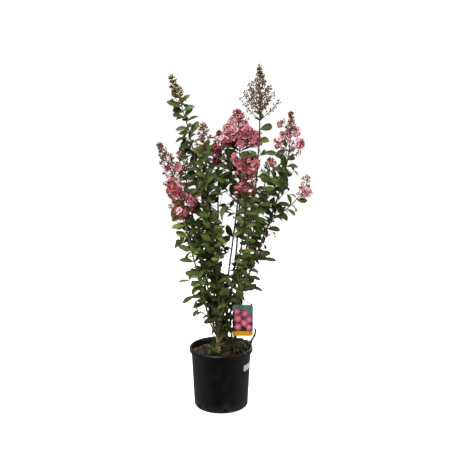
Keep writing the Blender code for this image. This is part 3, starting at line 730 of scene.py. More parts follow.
# %% Model the flowers
PETAL_ROWS = 4
PETAL_COLUMNS = 3
PETAL_REACH = (0.0010, 0.0066, 0.0096, 0.0134, 0.0164)    # each row's distance from the middle
PETAL_WIDTH = (0.0007, 0.0011, 0.0094, 0.0122, 0.0086)
PETAL_HEIGHT = (0.0012, 0.0036, 0.0050, 0.0052, 0.0034)
PETALS = 6
ASIDE = 2.0                       # metres, where the rows that are done wait
RUFFLE = 0.0031
RUFFLE_FROM = 1.3                 # of the stalk's length; the stalk itself stays smooth
FLOWER_OPENINGS = (0.96, 0.90, 0.62)
FLOWER_MIDDLE = (                 # depth, height, foot and top radius of the tuft and the cup
    (0.0060, 0.0050, 0.0010, 0.0032, stamen_finish),
    (0.0050, 0.0000, 0.0010, 0.0030, calyx_finish),
)


def model_flower(seed, opening):
    """A flower that faces +Z; opening is 1 for flat open and less for a cup."""
    clear_selection()
    bpy.ops.mesh.primitive_grid_add(x_subdivisions=PETAL_ROWS, y_subdivisions=PETAL_COLUMNS, size=1,
                                    location=(0.5, 0, 0))
    flower = bpy.context.object
    bpy.ops.object.transform_apply(location=True)
    bpy.ops.object.mode_set(mode="EDIT")
    rise = math.sqrt(1 - opening**2)
    for row in reversed(range(PETAL_ROWS + 1)):
        pick(flower, lambda place: abs(place.x - row / PETAL_ROWS) < ROW_REACH)
        reach = PETAL_REACH[row]
        bpy.ops.transform.resize(value=(1, PETAL_WIDTH[row], 1), center_override=(0, 0, 0))
        move = (reach * opening + ASIDE - row / PETAL_ROWS, 0, PETAL_HEIGHT[row] + reach * rise)
        bpy.ops.transform.translate(value=move)
    bpy.ops.mesh.select_all(action="SELECT")
    bpy.ops.transform.translate(value=(-ASIDE, 0, 0))
    bpy.ops.mesh.spin(steps=PETALS, angle=TAU, dupli=True, center=(0, 0, 0), axis=(0, 0, 1))
    pick(flower, lambda place: place.length > PETAL_REACH[1] * RUFFLE_FROM)
    bpy.ops.transform.vertex_random(offset=RUFFLE, seed=seed)
    bpy.ops.object.mode_set(mode="OBJECT")

    flower.data.materials.append(petal_finishes[ROSE])
    for depth, height, foot, top, finish in FLOWER_MIDDLE:
        bpy.ops.mesh.primitive_cone_add(vertices=6, radius1=foot, radius2=top, depth=depth,
                                        location=(0, 0, height))
        part = bpy.context.object
        part.data.materials.append(finish.material)
        flower.select_set(True)
        bpy.context.view_layer.objects.active = flower
        bpy.ops.object.join()
    return take_shape(flower)


flower_shapes = [model_flower(seed, opening) for seed, opening in enumerate(FLOWER_OPENINGS, 1)]
for shape in flower_shapes:
    reach = shape.points.max(axis=0) - shape.points.min(axis=0)
    print("flower", np.round(reach * 1000, 1), "mm,", len(shape.faces), "faces", sorted(set(shape.looks)))

# %% [markdown]
# ## One bud
#
# A bud is a little pear, round above and drawn in to its stalk below, with six faint ridges. It
# starts as a ball of few faces, because hundreds of them are set on each flower head, and its
# lower half is squeezed to the stalk.

# %% Model the bud
BUD_RADIUS = 0.0031
BUD_NECK = (0.62, 0.62, 1.3)      # the lower half is drawn in by this much, and down
BUD_TIP = 0.25                    # and the top up, in radii


def model_bud():
    clear_selection()
    bpy.ops.mesh.primitive_uv_sphere_add(segments=6, ring_count=4, radius=BUD_RADIUS,
                                         location=(0, 0, BUD_RADIUS))
    bud = bpy.context.object
    bpy.ops.object.transform_apply(location=True)
    bpy.ops.object.mode_set(mode="EDIT")
    pick(bud, lambda place: place.z < BUD_RADIUS * 0.5)
    bpy.ops.transform.resize(value=BUD_NECK, center_override=(0, 0, BUD_RADIUS * 0.6))
    pick(bud, lambda place: place.z > BUD_RADIUS * 1.9)
    bpy.ops.transform.translate(value=(0, 0, BUD_RADIUS * BUD_TIP))
    bpy.ops.object.mode_set(mode="OBJECT")
    return take_shape(bud)


bud_shape = model_bud()
print("bud", len(bud_shape.faces), "faces")

# %% [markdown]
# ## Growing
#
# Now the rule is carried on. Leaves stand in pairs, each pair a quarter turn on from the last, or, on
# canes that spread their leaves flat to the light, in two rows. Side shoots leave some of the joints.
# A flower head is a cone of sprays, which get shorter towards its tip, and each spray is a fine twig
# with stalks that end in buds. Open flowers stand in patches of it, and its tip is still in bud.

# %% Baskets for what grows
canes_basket = Basket("canes", [cane_finish, twig_finish, green_twig_finish, olive_finish])
twigs_basket = Basket("flower_twigs", [twig_finish, green_twig_finish])
leaves_basket = Basket("leaves", leaf_finishes)
flowers_basket = Basket("flowers", petal_finishes + [stamen_finish.material, calyx_finish.material])
buds_basket = Basket("buds", bud_finishes)
CANE_BARK, TWIG_BARK, GREEN_BARK, OLIVE_BARK = range(4)
HEAD_TWIG, HEAD_GREEN = range(2)


def facing(place, heading, size=1.0, spin=0.0):
    """A matrix that stands a shape that faces +Z at a place, facing a heading."""
    turned = outward_at(heading, spin)
    beside = heading.cross(turned)
    matrix = Matrix((turned * size, beside * size, heading * size)).transposed().to_4x4()
    matrix.translation = place
    return matrix


# %% [markdown]
# The gaps in a crown, where the sky shows through, give it its character as much as its leaves do.
# Each one is a disc, given as it looks from the camera, on the upright plane through the trunk. A
# leaf or a shoot that would show in it is left out, however near or far it grows. The tag keeps
# clear in the same way.

# %% Gaps in the crown
EYE = Vector(CAMERA_PLACE)
OPENINGS = (                      # across, up and radius
    (0.057, 0.652, 0.025), (0.028, 0.745, 0.020), (0.028, 0.593, 0.018), (0.154, 0.569, 0.017),
    (0.020, 0.835, 0.015), (0.020, 0.561, 0.013), (0.241, 0.831, 0.010), (0.296, 0.885, 0.020),
    (0.212, 0.974, 0.010), (0.214, 1.028, 0.008), (0.162, 0.955, 0.009), (0.204, 0.668, 0.017),
    (0.232, 0.713, 0.010), (-0.015, 0.331, 0.014), (-0.011, 0.294, 0.015), (-0.057, 0.294, 0.016),
    (-0.098, 0.585, 0.011), (0.051, 0.792, 0.011), (0.000, 0.589, 0.010), (-0.167, 1.126, 0.010),
    (0.168, 1.041, 0.008), (0.163, 0.992, 0.009), (0.211, 0.733, 0.008), (0.047, 0.735, 0.012),
    (-0.072, 0.388, 0.015), (-0.092, 0.350, 0.016), (-0.012, 0.806, 0.010), (0.123, 0.440, 0.010),
    (0.277, 0.913, 0.010), (-0.063, 0.521, 0.010), (0.036, 0.521, 0.007), (0.306, 0.955, 0.012),
    (0.150, 0.890, 0.010), (-0.053, 0.484, 0.011), (0.046, 0.472, 0.008), (-0.098, 0.762, 0.010),
    (0.134, 0.500, 0.012), (0.258, 0.848, 0.007), (-0.213, 0.738, 0.010), (0.052, 0.690, 0.010),
    (0.040, 0.620, 0.014), (0.050, 0.705, 0.010), (0.012, 0.689, 0.008),
)
OPENING_EDGE = 0.007              # a leaf's middle stays this far outside
TAG_CENTRE = sum(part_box("tag"), Vector()) / 2
TAG_HALF = (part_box("tag")[1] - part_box("tag")[0]) / 2
TAG_MARGIN = 0.012
TAG_VIEW_DEPTH = 0.20             # no leaf this far in front of it


def seen_at(point, depth=0.0):
    """Where a point shows, seen from the camera, on the upright plane at a depth."""
    sight = point - EYE
    return EYE + sight * ((depth - EYE.y) / sight.y)


def in_discs(point, discs, edge=0.0):
    return any(math.hypot(point.x - x, point.z - z) < radius + edge for x, z, radius in discs)


def in_opening(point, edge=0.0):
    """Whether a point is in a gap of the crown, or within an edge of it."""
    return in_discs(seen_at(point), OPENINGS, edge)


def hides_tag(point):
    across = abs(point.x - TAG_CENTRE.x) < TAG_HALF.x + TAG_MARGIN
    level = abs(point.z - TAG_CENTRE.z) < TAG_HALF.z + TAG_MARGIN
    ahead = TAG_CENTRE.y + TAG_MARGIN > point.y > TAG_CENTRE.y - TAG_VIEW_DEPTH
    return across and level and ahead


print("gaps", len(OPENINGS), "widest", 2 * max(radius for _, _, radius in OPENINGS), "m")

# %% [markdown]
# The flowers of a head don't all open at once. Each head has patches where they are open, which are
# discs too, but on the plane of the head itself. Hardly any leaf stands before them, because a head
# reaches out past the leaves of its neighbours. A few leaves still do, or the patch would look cut
# out.

# %% Patches in flower
OPEN_PATCHES = {                  # across, up and radius of each patch
    "centre": ((0.051, 1.130, 0.013), (0.034, 1.083, 0.034), (0.090, 1.100, 0.030),
               (0.126, 1.066, 0.034), (0.078, 1.062, 0.034), (0.030, 1.056, 0.018),
               (0.016, 1.058, 0.018), (0.129, 1.057, 0.016), (0.035, 1.049, 0.016)),
    "centre_back": ((-0.020, 1.020, 0.027), (-0.012, 0.982, 0.022)),
    "front": ((0.052, 1.004, 0.009), (0.073, 0.976, 0.018), (0.122, 0.974, 0.019),
              (0.099, 0.945, 0.014), (0.080, 0.903, 0.009), (0.062, 0.882, 0.009)),
    "right": ((0.229, 1.120, 0.006), (0.289, 1.090, 0.018), (0.248, 1.077, 0.015),
              (0.221, 1.046, 0.017), (0.299, 1.052, 0.022)),
    "front_left": ((-0.177, 0.904, 0.023), (-0.172, 0.876, 0.023), (-0.150, 0.856, 0.011),
                   (-0.118, 0.832, 0.019), (-0.148, 0.796, 0.013)),
    "left": ((-0.162, 0.950, 0.009), (-0.192, 0.958, 0.010)),
    "back_left": ((-0.162, 0.996, 0.015),),
    "back_right": ((0.205, 0.960, 0.016),),
    "back": ((0.100, 0.962, 0.018), (0.112, 0.936, 0.015)),
    "long_shoot": ((0.333, 0.905, 0.012), (0.324, 0.860, 0.023)),
}
HEAD_DEPTH = {cane.name: cane.tip[1] for cane in GROWING}
HEAD_MARGIN = 0.01


def hides_flowers(point):
    """Whether a point stands before an open patch of a head, seen from the front."""
    for name, patches in OPEN_PATCHES.items():
        depth = HEAD_DEPTH[name]
        if point.y < depth - HEAD_MARGIN and in_discs(seen_at(point, depth), patches):
            return True
    return False


print("patches in flower", sum(len(patches) for patches in OPEN_PATCHES.values()))

# %% [markdown]
# A leaf leaves its stem at an angle above square, with its upper side to the light. The matrix that
# places it has the leaf's length along X and its upper side along Z, and their cross product gives
# its width. Each leaf strays a little in direction and size, and bends by chance to one of the four
# models, because an even crown looks made of plastic.

# %% Set one leaf
LEAF_RISE = (18, 44)              # degrees above square to the stem
LEVEL_RISE = (12, 32)             # and where leaves stand in two rows
LEAF_TO_LIGHT = Vector((-0.10, -0.32, 0.76))    # where the row of pots had its light from
LEAF_TO_SIDE = 0.38                            # and how much a blade turns to its own side
LEAF_STRAY = 0.30
LEAF_SIZES = (0.86, 1.12)
LEAF_DEPTHS = (0.8, 1.15)         # of its fold and arch
BEND_CHOICES = (0, 1, 1, 2, 2, 3)
TILT_FROM = 0.80                  # above this height blades tilt more to the light in front
LEAF_TILT = 1.9
CROWN_AXIS = Vector((0.02, 0.06, 0.0))
SHED_CHANCE = 0.9                 # of a leaf that stands before open flowers


def stray_by(rng, much):
    return Vector((rng.gauss(0, 1), rng.gauss(0, 1), rng.gauss(0, 1))) * much


def set_leaf(place, along, turn, size, rng, tints, rises=LEAF_RISE):
    """Sets a leaf, unless it would hang where none is wanted; gives how many."""
    rise = math.radians(rng.uniform(*rises))
    heading = (outward_at(along, turn) * math.cos(rise) + along * math.sin(rise)).normalized()
    crown_side = (place - CROWN_AXIS).xy.to_3d().normalized()
    stray = stray_by(rng, LEAF_STRAY)
    tilt = Vector((0, -LEAF_TILT * max(0.0, place.z - TILT_FROM), 0))
    face = LEAF_TO_LIGHT + crown_side * LEAF_TO_SIDE + tilt + stray
    side = heading.cross(face).normalized()
    up = side.cross(heading)
    size = size * rng.uniform(*LEAF_SIZES)
    shapes = mirrored_shapes if side.z > 0 else leaf_shapes
    shape = shapes[rng.choice(BEND_CHOICES)]
    look = rng.choice(tints)
    depth = size * rng.uniform(*LEAF_DEPTHS)
    matrix = Matrix((heading * size, -side * size, up * depth)).transposed().to_4x4()
    matrix.translation = place
    middle = matrix @ Vector(shape.points.mean(axis=0))
    tip = place + heading * LEAF_LENGTH * size
    shed = in_opening(middle, OPENING_EDGE) or in_opening(tip)
    shed = shed or (rng.random() < SHED_CHANCE and (hides_flowers(middle) or hides_flowers(tip)))
    if shed or hides_tag(middle) or hides_tag(tip):
        return 0
    leaves_basket.add(shape, matrix, (look,))
    return 1


# %% [markdown]
# The greens follow how a shrub is lit, as painted light and painted shade, and how old its leaves are:
# deep ones inside and low down are painted shade, paler ones on the lit left side are painted light,
# darker ones stand at the upper left, lighter ones at the outside and near the tips, and a few have
# turned bronze.

# %% Choose a leaf's green
# painted shade: below this height leaves get only deep greens
SHADED_BELOW = 0.42
# painted light: on this side leaves get paler greens
LIT_SIDE = (-0.015, 0.05)         # left of the one and in front of the other
LIT_HEIGHTS = (0.5, 0.80)         # palest above the one, and no more lit above the other
DARK_CORNER = (-0.03, 0.85)       # left of the one and above the other
# painted shade: this near the crown's middle leaves get mostly deep greens
INNER_REACH = (0.07, 0.06)        # metres at the foot of a cane, and how much more at its tip
YOUNG_FROM = 0.8
OLD_UNTIL = 0.35                  # shares of the way up a cane


def greens_at(place, share):
    """The greens to choose from at a place, share of the way up its cane."""
    away = (place - CROWN_AXIS).xy.length
    if place.z < SHADED_BELOW:
        return (DEEP, MID, DEEP)
    if place.x < LIT_SIDE[0] and place.y < LIT_SIDE[1] and place.z < LIT_HEIGHTS[1]:
        return (MID, OLIVE, MID, OLIVE, DEEP, LIGHT) if place.z > LIT_HEIGHTS[0] else (MID, OLIVE, DEEP, MID)
    if place.x < DARK_CORNER[0] and place.z > DARK_CORNER[1]:
        return (DEEP, MID, OLIVE, DEEP)
    if away < INNER_REACH[0] + INNER_REACH[1] * share:
        return (DEEP, DEEP, DEEP, MID, MID)
    if share > YOUNG_FROM:
        return (MID, OLIVE, MID, DEEP, OLIVE, MID)
    if share < OLD_UNTIL:
        return (DEEP, MID, MID, OLIVE, MID, DEEP, BRONZE)
    return (DEEP, MID, MID, OLIVE, OLIVE, MID)


for height in (0.4, 0.7, 1.1):
    print("greens at", height, "m:", greens_at(Vector((0.1, 0, height)), height / 1.3))

# %% [markdown]
# The stem of a cane is a limb along the cane's own line, with the slight wander of real wood and a
# small knuckle at each joint, where a pair of leaves stands or has stood. Two of the canes are young
# enough to be olive still.

# %% Stems of the canes
INTERNODE = 0.0245                # between the joints
STEM_SIDES = 8
STEM_RING = 0.009                 # between the rings of points
STEM_WANDER = 0.0016
WANDER_GRAIN = 14                 # bends of the wander in a metre
WANDER_SEED = 3                   # with no seed, each run would get another wander
STEM_KNUCKLE = 0.16               # how much thicker a stem is at a joint
SHOOT_THINNESS = 0.6              # of the long shoot, to a cane
OLIVE_CANES = ("left", "front_left")
noise.seed_set(WANDER_SEED)


def stem_at(cane, share):
    """The cane's line, with the slight wander of a real stem, which fades out at its foot."""
    place, along = cane_at(cane, share)
    spot = place * WANDER_GRAIN + Vector((len(cane.name) * 3.1, 0, 0))
    return place + noise.noise_vector(spot) * STEM_WANDER * min(1.0, share * 8), along


def grow_stem(cane):
    length = cane_length(cane)
    steps = round(length / STEM_RING)
    path = [stem_at(cane, k / steps) for k in range(steps + 1)]
    radii = []
    for k in range(steps + 1):
        share = k / steps
        near = abs((share * length / INTERNODE + 0.5) % 1 - 0.5)
        radii.append(stem_radius(share) * (1 + STEM_KNUCKLE * max(0.0, 1 - near * 4)))
    if cane is LONG_SHOOT:
        radii = [radius * SHOOT_THINNESS for radius in radii]
    look = OLIVE_BARK if cane.name in OLIVE_CANES else GREEN_BARK if cane is LONG_SHOOT else CANE_BARK
    canes_basket.add(tube(path, radii, STEM_SIDES), None, (look,))


print("joints on the longest cane", round(max(cane_length(cane) for cane in CANES) / INTERNODE))

# %% [markdown]
# Leaves are set in pairs, one on each side of the stem. A side shoot is a thin stem of its own, with
# smaller pairs. It is drawn only as far as its last leaf, because a bare twig that ends in the air
# looks like a wire, and living ones don't.

# %% Pairs of leaves and side shoots
PAIR_TWIST = 0.3                  # radians that a leaf may turn out of its pair's line
PAIR_SHIFT = 0.003
LEAF_FOOT = 0.001                 # on a twig, twice how far from its middle a leaf starts
TWIG_RADIUS = 0.0014
TWIG_SIDES = 5
SHOOT_PAIR = 0.018                # between the pairs of a side shoot
SHOOT_LEAVE = (0.80, 0.60)        # outwards and along the cane, where it leaves
SHOOT_ARRIVE = (0.55, 0.80)       # and where it ends
SHOOT_LEAF = (0.82, 0.22)         # size of its first leaves, and what is lost to the last
FULL_SHOOT = 0.06                 # a shorter one has smaller leaves


def grow_pair(place, along, radius, turn, size, rng, greens, rises=LEAF_RISE):
    """Up to two leaves on opposite sides of a stem; gives how many."""
    grown = 0
    for side in (0, math.pi):
        angle = turn + side + rng.uniform(-PAIR_TWIST, PAIR_TWIST)
        outward = outward_at(along, angle)
        spot = place + outward * radius * 0.5 + along * rng.uniform(-PAIR_SHIFT, PAIR_SHIFT)
        grown += set_leaf(spot, along, angle, size, rng, greens, rises)
    return grown


def draw_twig(start, end, leave, arrive, reach, steps, lost):
    """A twig along a cubic, up to the share of it where its last leaf stands."""
    path = curve_path(start, end, leave, arrive, steps, reach)
    canes_basket.add(tube(path, taper(TWIG_RADIUS, lost, steps), TWIG_SIDES), None, (TWIG_BARK,))


def grow_side_shoot(place, along, turn, length, rng, greens):
    """A thin shoot with pairs of smaller leaves, which ends in the last of them."""
    outward = outward_at(along, turn)
    leave = (outward * SHOOT_LEAVE[0] + along * SHOOT_LEAVE[1]).normalized() * length
    arrive = (outward * SHOOT_ARRIVE[0] + along * SHOOT_ARRIVE[1]).normalized() * length
    end = place + (leave + arrive) / 2
    if hides_tag(end) or in_opening(end):
        return
    pairs, last = max(2, round(length / SHOOT_PAIR)), 0.0
    for k in range(pairs):
        share = 0.30 + 0.70 * k / (pairs - 1)
        spot, heading = blend(place, end, leave, arrive, share)
        size = (SHOOT_LEAF[0] - SHOOT_LEAF[1] * share) * min(1.0, 0.3 + length / FULL_SHOOT)
        if grow_pair(spot, heading, LEAF_FOOT, turn + k * math.pi / 2, size, rng, greens):
            last = share
    if last:
        draw_twig(place, end, leave, arrive, last, 5, 0.5)


# %% [markdown]
# Now each cane gets its stem, its pairs and its side shoots. The tables give the habit of single
# canes: how densely they branch, how far apart their pairs are, and whether these stand in two flat
# rows, like a ladder. Each joint has a random seed of its own, so that a change at one of them
# leaves all the others as they are.

# %% Grow the leafy canes
SIDE_SHOOTS = {                   # from and to which share of a cane, and at every how many joints
    "left_tall": (0.25, 0.62, 2),
    "right_tall": (0.10, 0.62, 1),
    "right": (0.20, 0.85, 2),
    "middle_left": (0.20, 0.97, 2),
    "centre": (0.20, 0.97, 2),
    "centre_back": (0.20, 0.99, 1),
    "front": (0.20, 0.85, 3),
    "back": (0.20, 0.90, 3),
}
OTHER_SHOOTS = (0.15, 0.80, 5)
SHOOT_LENGTHS = (0.0525, 0.0825)
SHOOT_TWIST = 0.4
TWO_RANKED = ("left_tall", "right_tall", "right", "left", "long_shoot")
RANK_STRAY = 0.5                  # radians that the pairs of two rows lie out of one plane
CLOSE_RANKS = {"right_tall": 0.15}
RANK_TWIST = 0.25
JOINTS = {"left_tall": 0.021, "right_tall": 0.0455}     # between pairs, where they stand otherwise
LEAF_GROWTH = {"left_tall": 1.06, "right_tall": 1.12, "front": 0.86, "front_left": 0.90,
               "middle_left": 0.90, "long_shoot": 0.74}
HEAD_LEAF = (0.87, 0.92)          # from this share of the leafy part on, leaves have this size


def leaf_size(share):
    """Leaves are a little smaller at the foot and under the flower head."""
    if share >= HEAD_LEAF[0]:
        return HEAD_LEAF[1]
    return 0.86 + 0.20 * math.sin(math.pi * min(1.0, share * 1.15)) ** 0.7


def grow_leaves(cane, first_turn):
    length = cane_length(cane)
    leafy = length - cane.plume
    joints = round(leafy / JOINTS.get(cane.name, INTERNODE))
    first, last, every = SIDE_SHOOTS.get(cane.name, OTHER_SHOOTS)
    for k in range(joints):
        rng = random.Random("%s pair %d" % (cane.name, k))
        share = (k + 0.5) / joints
        place, along = stem_at(cane, share * leafy / length)
        turn, rises = first_turn + k * math.pi / 2, LEAF_RISE
        if cane.name in TWO_RANKED:
            stray = CLOSE_RANKS.get(cane.name, RANK_STRAY) * (1 if k % 2 else -1)
            turn, rises = stray + rng.uniform(-RANK_TWIST, RANK_TWIST), LEVEL_RISE
        greens = greens_at(place, share)
        size = leaf_size(share) * LEAF_GROWTH.get(cane.name, 1.0)
        grow_pair(place, along, stem_radius(share), turn, size, rng, greens, rises)
        if first < share < last and k % every == 0:
            reach = rng.uniform(*SHOOT_LENGTHS)
            aside = turn + math.pi / 2 + rng.uniform(-SHOOT_TWIST, SHOOT_TWIST)
            grow_side_shoot(place, along, aside, reach, rng, greens)


for order, cane in enumerate(GROWING):
    grow_stem(cane)
    grow_leaves(cane, order)
print("leaves on canes", leaves_basket.copies)

# %% [markdown]
# A rule leaves some places barer than a healthy shrub has them, mostly beside the gaps. A short shoot
# with two pairs of leaves fills each. It leaves the cane that is named, from the spot that suits its
# slope, and ends at a place given across and up.

# %% Grow shoots into the bare places
BARE_PLACES = {                   # by cane: where each shoot ends, across and up
    "right": ((0.095, 0.435), (0.118, 0.484), (0.231, 0.986), (0.235, 0.959), (0.198, 0.858),
              (0.224, 0.916), (0.140, 0.700), (0.188, 0.898), (0.262, 0.870), (0.168, 0.602),
              (0.245, 1.028), (0.204, 0.738), (0.012, 0.360), (0.262, 0.815), (0.130, 0.566),
              (0.102, 0.428), (0.205, 0.915), (0.254, 0.884)),
    "right_tall": ((0.105, 1.015), (0.150, 0.870), (0.085, 0.560), (0.168, 0.832), (0.164, 0.772),
                   (0.140, 0.945), (0.160, 1.015), (0.120, 1.008), (0.140, 0.985), (0.190, 0.905)),
    "centre": ((0.035, 0.941), (0.004, 0.866), (0.008, 0.528), (0.096, 1.020), (0.026, 1.042),
               (0.056, 1.020), (0.030, 0.965), (-0.018, 0.930), (0.028, 0.402), (0.040, 0.432)),
    "left": ((-0.143, 0.671), (-0.125, 0.516), (-0.150, 0.776), (-0.185, 0.762), (-0.112, 0.450),
             (-0.152, 0.668), (-0.042, 0.378)),
    "left_tall": ((-0.098, 0.860), (-0.120, 0.960), (-0.108, 0.905), (-0.140, 1.072),
                  (-0.136, 1.036), (-0.112, 1.030), (-0.148, 1.145), (-0.118, 1.000)),
    "middle_left": ((-0.088, 0.880), (-0.050, 1.020), (0.002, 0.768)),
    "back": ((0.030, 0.384), (0.040, 0.330), (0.024, 0.345)),
    "back_right": ((0.050, 0.420),),
    "front": ((-0.002, 0.318), (0.010, 0.340), (-0.014, 0.362), (-0.010, 0.354), (0.004, 0.388)),
    "front_left": ((-0.030, 0.358),),
}
SHORT_SHOOT_PAIRS = (0.45, 0.98)  # shares of the way along it
SHORT_SHOOT_LEAF = 0.88
SHORT_SHOOT_TWIST = 0.7
SHORT_SHOOT_SLOPE = 0.8           # metres that it rises for each metre outwards
FIRST_SPOT = 3                    # nearer to the trunk no shoot leaves a bough


def grow_into(name, x, z):
    cane = next(cane for cane in CANES if cane.name == name)
    spots = [place for place, _ in bough_path(cane, 20)[FIRST_SPOT:]]
    spots += [stem_at(cane, k / 50)[0] for k in range(1, 50)]
    start = min(spots, key=lambda spot: abs(spot.z - z + SHORT_SHOOT_SLOPE * abs(spot.x - x)))
    rng = random.Random("%s %.3f" % (name, z))
    end = Vector((x, start.y + rng.uniform(-0.02, 0.01), z))
    if in_opening(end):
        return
    run, last = end - start, 0.0
    leave = run + UP * 0.01
    for share in SHORT_SHOOT_PAIRS:
        spot, heading = blend(start, end, leave, run, share)
        turn = rng.uniform(-SHORT_SHOOT_TWIST, SHORT_SHOOT_TWIST)
        if grow_pair(spot, heading, LEAF_FOOT, turn, SHORT_SHOOT_LEAF, rng, greens_at(spot, 0.5)):
            last = share
    if last:
        draw_twig(start, end, leave, run, last, 4, 0.48)


for name, places in BARE_PLACES.items():
    for x, z in places:
        grow_into(name, x, z)
print("bare places", sum(len(places) for places in BARE_PLACES.values()), "leaves", leaves_basket.copies)

# %% [markdown]
# Weak shoots stay low on a trunk, in the shade of the crown. Each leaves the trunk at a height and
# ends at a place, in a line that rises first and then settles. Two of them lie on the mix in a dark
# mat of small leaves, and the sparse ones carry leaves only on their outer half. The dark greens of
# these shoots are painted shade.

# %% Grow the low shoots
LOW_SHOOT_RADIUS = 0.0021
LOW_SHOOT_PAIR = 0.017
LOW_LEAF_SIZE = 0.70
MAT_SHOOTS = ("low_right", "low_back")     # these lie on the mix in a dark mat
MAT_LEAF_SIZE = 0.46
MAT_PAIR = 0.011
SMALL_LEAVES_BELOW = 0.3          # a shoot that ends lower has small leaves
BUSHY_SHOOT = "low_right"         # the mat with side shoots of its own
SPARSE_SHOOTS = ("low_left", "low_front", "inner_left", "inner_front")
SPARSE_PAIRS = 4
FIRST_PAIR = (0.32, 0.45)         # share of the way along, and the same for sparse shoots
LAST_PAIR = 0.98
MAT_SIDE_SHOOT = 0.035
LOW_SHOOT_STEPS = 8


def grow_low_shoot(shoot):
    tip = Vector(shoot.tip)
    start = trunk_at(shoot.root)
    run = tip - start
    level = math.hypot(run.x, run.y)
    rise = Vector((run.x * 0.8, run.y * 0.8, run.z + 0.5 * level))
    settle_down = Vector((run.x * 1.1, run.y * 1.1, run.z - 0.4 * level))
    path = curve_path(start, tip, rise, settle_down, LOW_SHOOT_STEPS)
    radii = taper(LOW_SHOOT_RADIUS, 0.4, LOW_SHOOT_STEPS)
    canes_basket.add(tube(path, radii, 6), None, (TWIG_BARK,))
    sparse, mat = shoot.name in SPARSE_SHOOTS, shoot.name in MAT_SHOOTS
    pairs = SPARSE_PAIRS if sparse else max(3, round(run.length / (MAT_PAIR if mat else LOW_SHOOT_PAIR)))
    first = FIRST_PAIR[1] if sparse else FIRST_PAIR[0]
    size = MAT_LEAF_SIZE if shoot.tip[2] < SMALL_LEAVES_BELOW else LOW_LEAF_SIZE
    # painted shade: low shoots and the mat get the darkest greens
    greens = (SHADE, SHADE, DEEP) if mat else (DEEP, SHADE, MID)
    for k in range(pairs):
        rng = random.Random("%s pair %d" % (shoot.name, k))
        share = first + (LAST_PAIR - first) * k / (pairs - 1)
        place, along = blend(start, tip, rise, settle_down, share)
        grow_pair(place, along, LEAF_FOOT, k * math.pi / 2, size, rng, greens)
        if shoot.name == BUSHY_SHOOT and k % 2:
            for side in (0, math.pi):
                # painted shade: the mat's side shoots have only the darkest green
                grow_side_shoot(place, along, side + 0.4, MAT_SIDE_SHOOT, rng, (SHADE,))


for shoot in LOW_SHOOTS:
    grow_low_shoot(shoot)
print("leaves", leaves_basket.copies)

# %% [markdown]
# The ends of a head are of two kinds. A fork of buds is one bud on the stalk's end with others on
# short stalks round it. An open flower faces outwards and a little up, and strays from that, so that
# some are seen from the side.

# %% Buds and flowers on their stalks
FORK = 0.0056                     # length of a fork's stalks
FORK_REACHES = (0.9, 1.3)
END_BUDS = (0.8, 1.15)            # sizes of the bud at the end, and of those round it
SIDE_BUDS = (0.6, 1.0)
STALK_RADII = (0.0007, 0.0005)
FORK_RADII = (0.0006, 0.0005)
FLOWER_STRAY = 0.45
FLOWER_SIZES = (0.72, 1.12)


def draw_stalk(start, end, heading, radii=STALK_RADII, sides=4):
    twigs_basket.add(tube([(start, heading), (end, heading)], radii, sides), None, (HEAD_TWIG,))


def set_buds(place, heading, rng, looks, count):
    """A fork of buds at the end of a stalk."""
    buds_basket.add(bud_shape, facing(place, heading, rng.uniform(*END_BUDS)), (rng.choice(looks),))
    start = rng.uniform(0, TAU)
    foot = place - heading * FORK * 0.8
    for k in range(count - 1):
        aside = (heading * 0.55 + outward_at(heading, start + TAU * k / (count - 1))).normalized()
        end = foot + aside * FORK * rng.uniform(*FORK_REACHES)
        draw_stalk(foot, end, aside, FORK_RADII, 3)
        buds_basket.add(bud_shape, facing(end, aside, rng.uniform(*SIDE_BUDS)), (rng.choice(looks),))


def set_flower(place, heading, size, rng, looks):
    shape = rng.choice(flower_shapes)
    facing_out = (heading + UP * 0.1 + stray_by(rng, FLOWER_STRAY)).normalized()
    matrix = facing(place, facing_out, size * rng.uniform(*FLOWER_SIZES), rng.uniform(0, TAU))
    flowers_basket.add(shape, matrix, (rng.choice(looks), STAMEN, CALYX))


# %% [markdown]
# A spray is the unit of a flower head. Its twig bends upwards a little, its stalks stand on it in
# twos, each pair a quarter turn on, and each stalk ends in a fork of buds. Sprays that would end
# inside a patch of open flowers mostly stay away, so that the flowers have room.

# %% Sprays
SPRAY_RADIUS = 0.0019
SPRAY_STEPS = 4
SPRAY_JOINT = 0.0160              # between the pairs of stalks
SPRAY_SIDE_TWIST = 0.4
SPRAY_GIVES_WAY = 0.8             # chance that it leaves room for open flowers
RED_TWIGS = 0.6                   # share of the twigs; the others are green
STALK = (0.004, 0.010)
HEAD_FORKS = {"right_tall": (1, 2, 2)}      # buds at the end of a stalk
COMMON_FORKS = (2, 3)
TOP_FORK = 4


